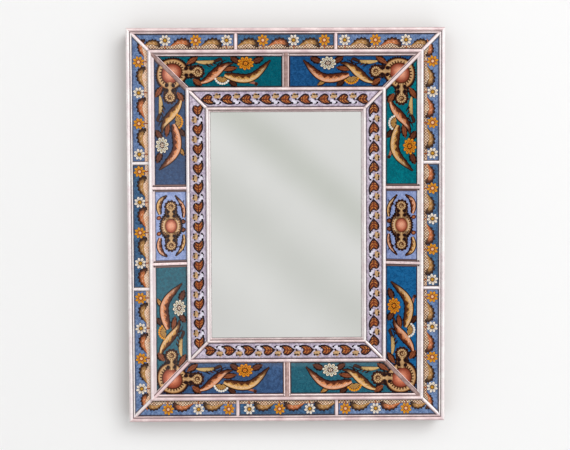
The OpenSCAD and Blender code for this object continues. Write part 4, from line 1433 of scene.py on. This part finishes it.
def link(item):
    bpy.context.scene.collection.objects.link(item)
    return item


def aim(item, ahead, roll=0.0):
    """Turns a camera or a lamp to look along a direction."""
    item.rotation_mode = "QUATERNION"
    item.rotation_quaternion = ahead.to_track_quat("-Z", "Y") @ Quaternion((0, 0, 1), roll)


def make_camera():
    camera = link(bpy.data.objects.new("camera", bpy.data.cameras.new("camera")))
    camera.data.sensor_width = SENSOR
    camera.data.lens = LENS
    camera.location = Vector(CAMERA_PLACE) * MM
    yaw, pitch, roll = (math.radians(a) for a in CAMERA_TURN)
    ahead = Vector((math.sin(yaw) * math.cos(pitch), math.cos(yaw) * math.cos(pitch), math.sin(pitch)))
    aim(camera, ahead, roll)
    bpy.context.scene.camera = camera


def plane(name, corners, material):
    mesh = bpy.data.meshes.new(name)
    mesh.from_pydata(corners, [], [(0, 1, 2, 3)])
    mesh.materials.append(material)
    item = link(bpy.data.objects.new(name, mesh))
    return item


def make_stage():
    """A pale wall just behind the frame, seen from the front only, and a pale floor well below."""
    graph = Graph("wall_paint")
    back = graph.result(graph.node("NewGeometry"), "Backfacing")
    paint = graph.result(graph.node("BsdfDiffuse", WALL_TONE))
    clear = graph.result(graph.node("BsdfTransparent"))
    wall = plane("wall", [(x, WALL_GAP, z) for x, z in ((-3, FLOOR_Z), (3, FLOOR_Z), (3, 3), (-3, 3))],
                 graph.finish(graph.node("MixShader", back, paint, clear)))
    for way in ("visible_diffuse", "visible_glossy", "visible_transmission", "visible_shadow"):
        setattr(wall, way, False)
    floor = plane("floor", [(x, y, FLOOR_Z) for x, y in ((-4, -5), (4, -5), (4, 4), (-4, 4))],
                  Graph("floor_paint").surface(WALL_TONE, roughness=0.9, specular_ior_level=0.1))
    floor.visible_glossy = False


def ramp(graph, value, reach, stops):
    """Goes smoothly through stops of (value, colour or brightness) within a reach of values."""
    low, high = reach
    node = graph.node("ValToRGB", (value - low) * (1 / (high - low)))
    elements = node.color_ramp.elements
    node.color_ramp.interpolation = "EASE"
    while len(elements) > 1:
        elements.remove(elements[-1])
    for i, (at, color) in enumerate(stops):
        share = (at - low) / (high - low)
        stop = elements.new(share) if i else elements[0]
        stop.position = share
        stop.color = color if isinstance(color, tuple) else (color, color, color, 1)
    return graph.result(node)


def make_world():
    """Pale light all round, fuller at the sides. In gloss the room has soft slanting bands straight
    ahead, and is dark where the sloping panels look."""
    graph = Graph("studio", bpy.data.worlds, "OutputWorld")
    bpy.context.scene.world = graph.owner
    x, y, z = graph.parts(graph.result(graph.node("TexCoord"), "Generated"))
    ahead = most(abs(y), 0.05)
    along, up = ((part / ahead - at) * step for part, at, step in zip((x, z), BAND_PLACE, BAND_STEPS))
    bands = ramp(graph, along + up, BAND_REACH, [(at, tint(*tone)) for at, tone in BAND_TONES])
    shape = ramp(graph, x, (-1, 1), GLOSS_ACROSS) * ramp(graph, z, (-1, 1), GLOSS_UPRIGHT)
    shape = most(shape, ramp(graph, least(abs(x), abs(z)), (0, 1), GLOSS_ASLANT))
    even = x * x * ROOM_SIDES + z * z * ROOM_HEIGHT + ROOM_AHEAD
    room, gloss, seen = (graph.result(graph.node("Background", *light)) for light in (
        (ROOM_TONE, even), (graph.mix(1.0, bands, shape, "MULTIPLY"),), (WALL_TONE,)))
    path = graph.node("LightPath")
    by_ray = graph.result(graph.node("MixShader", graph.result(path, "Is Glossy Ray"), room, gloss))
    graph.finish(graph.node("MixShader", graph.result(path, "Is Camera Ray"), by_ray, seen))


def lamp(name, kind, place, power, **settings):
    data = bpy.data.lights.new(name, kind)
    data.energy = power
    for setting, value in settings.items():
        setattr(data, setting, value)
    item = link(bpy.data.objects.new(name, data))
    item.location = Vector(place)
    aim(item, -Vector(place))


def make_lights():
    """A broad key from the upper right, and soft boxes at the right and overhead."""
    lamp("key", "SUN", (1.0, -1.5, 1.05), 0.9, angle=math.radians(34))
    lamp("box_right", "AREA", (1.75, -1.9, 0.1), 7, shape="RECTANGLE", size=1.0, size_y=2.4)
    lamp("box_top", "AREA", (0.0, -1.95, 1.5), 6, shape="RECTANGLE", size=2.4, size_y=0.9)


make_camera()
make_stage()
make_world()
make_lights()
bpy.context.scene.view_settings.view_transform = "Standard"
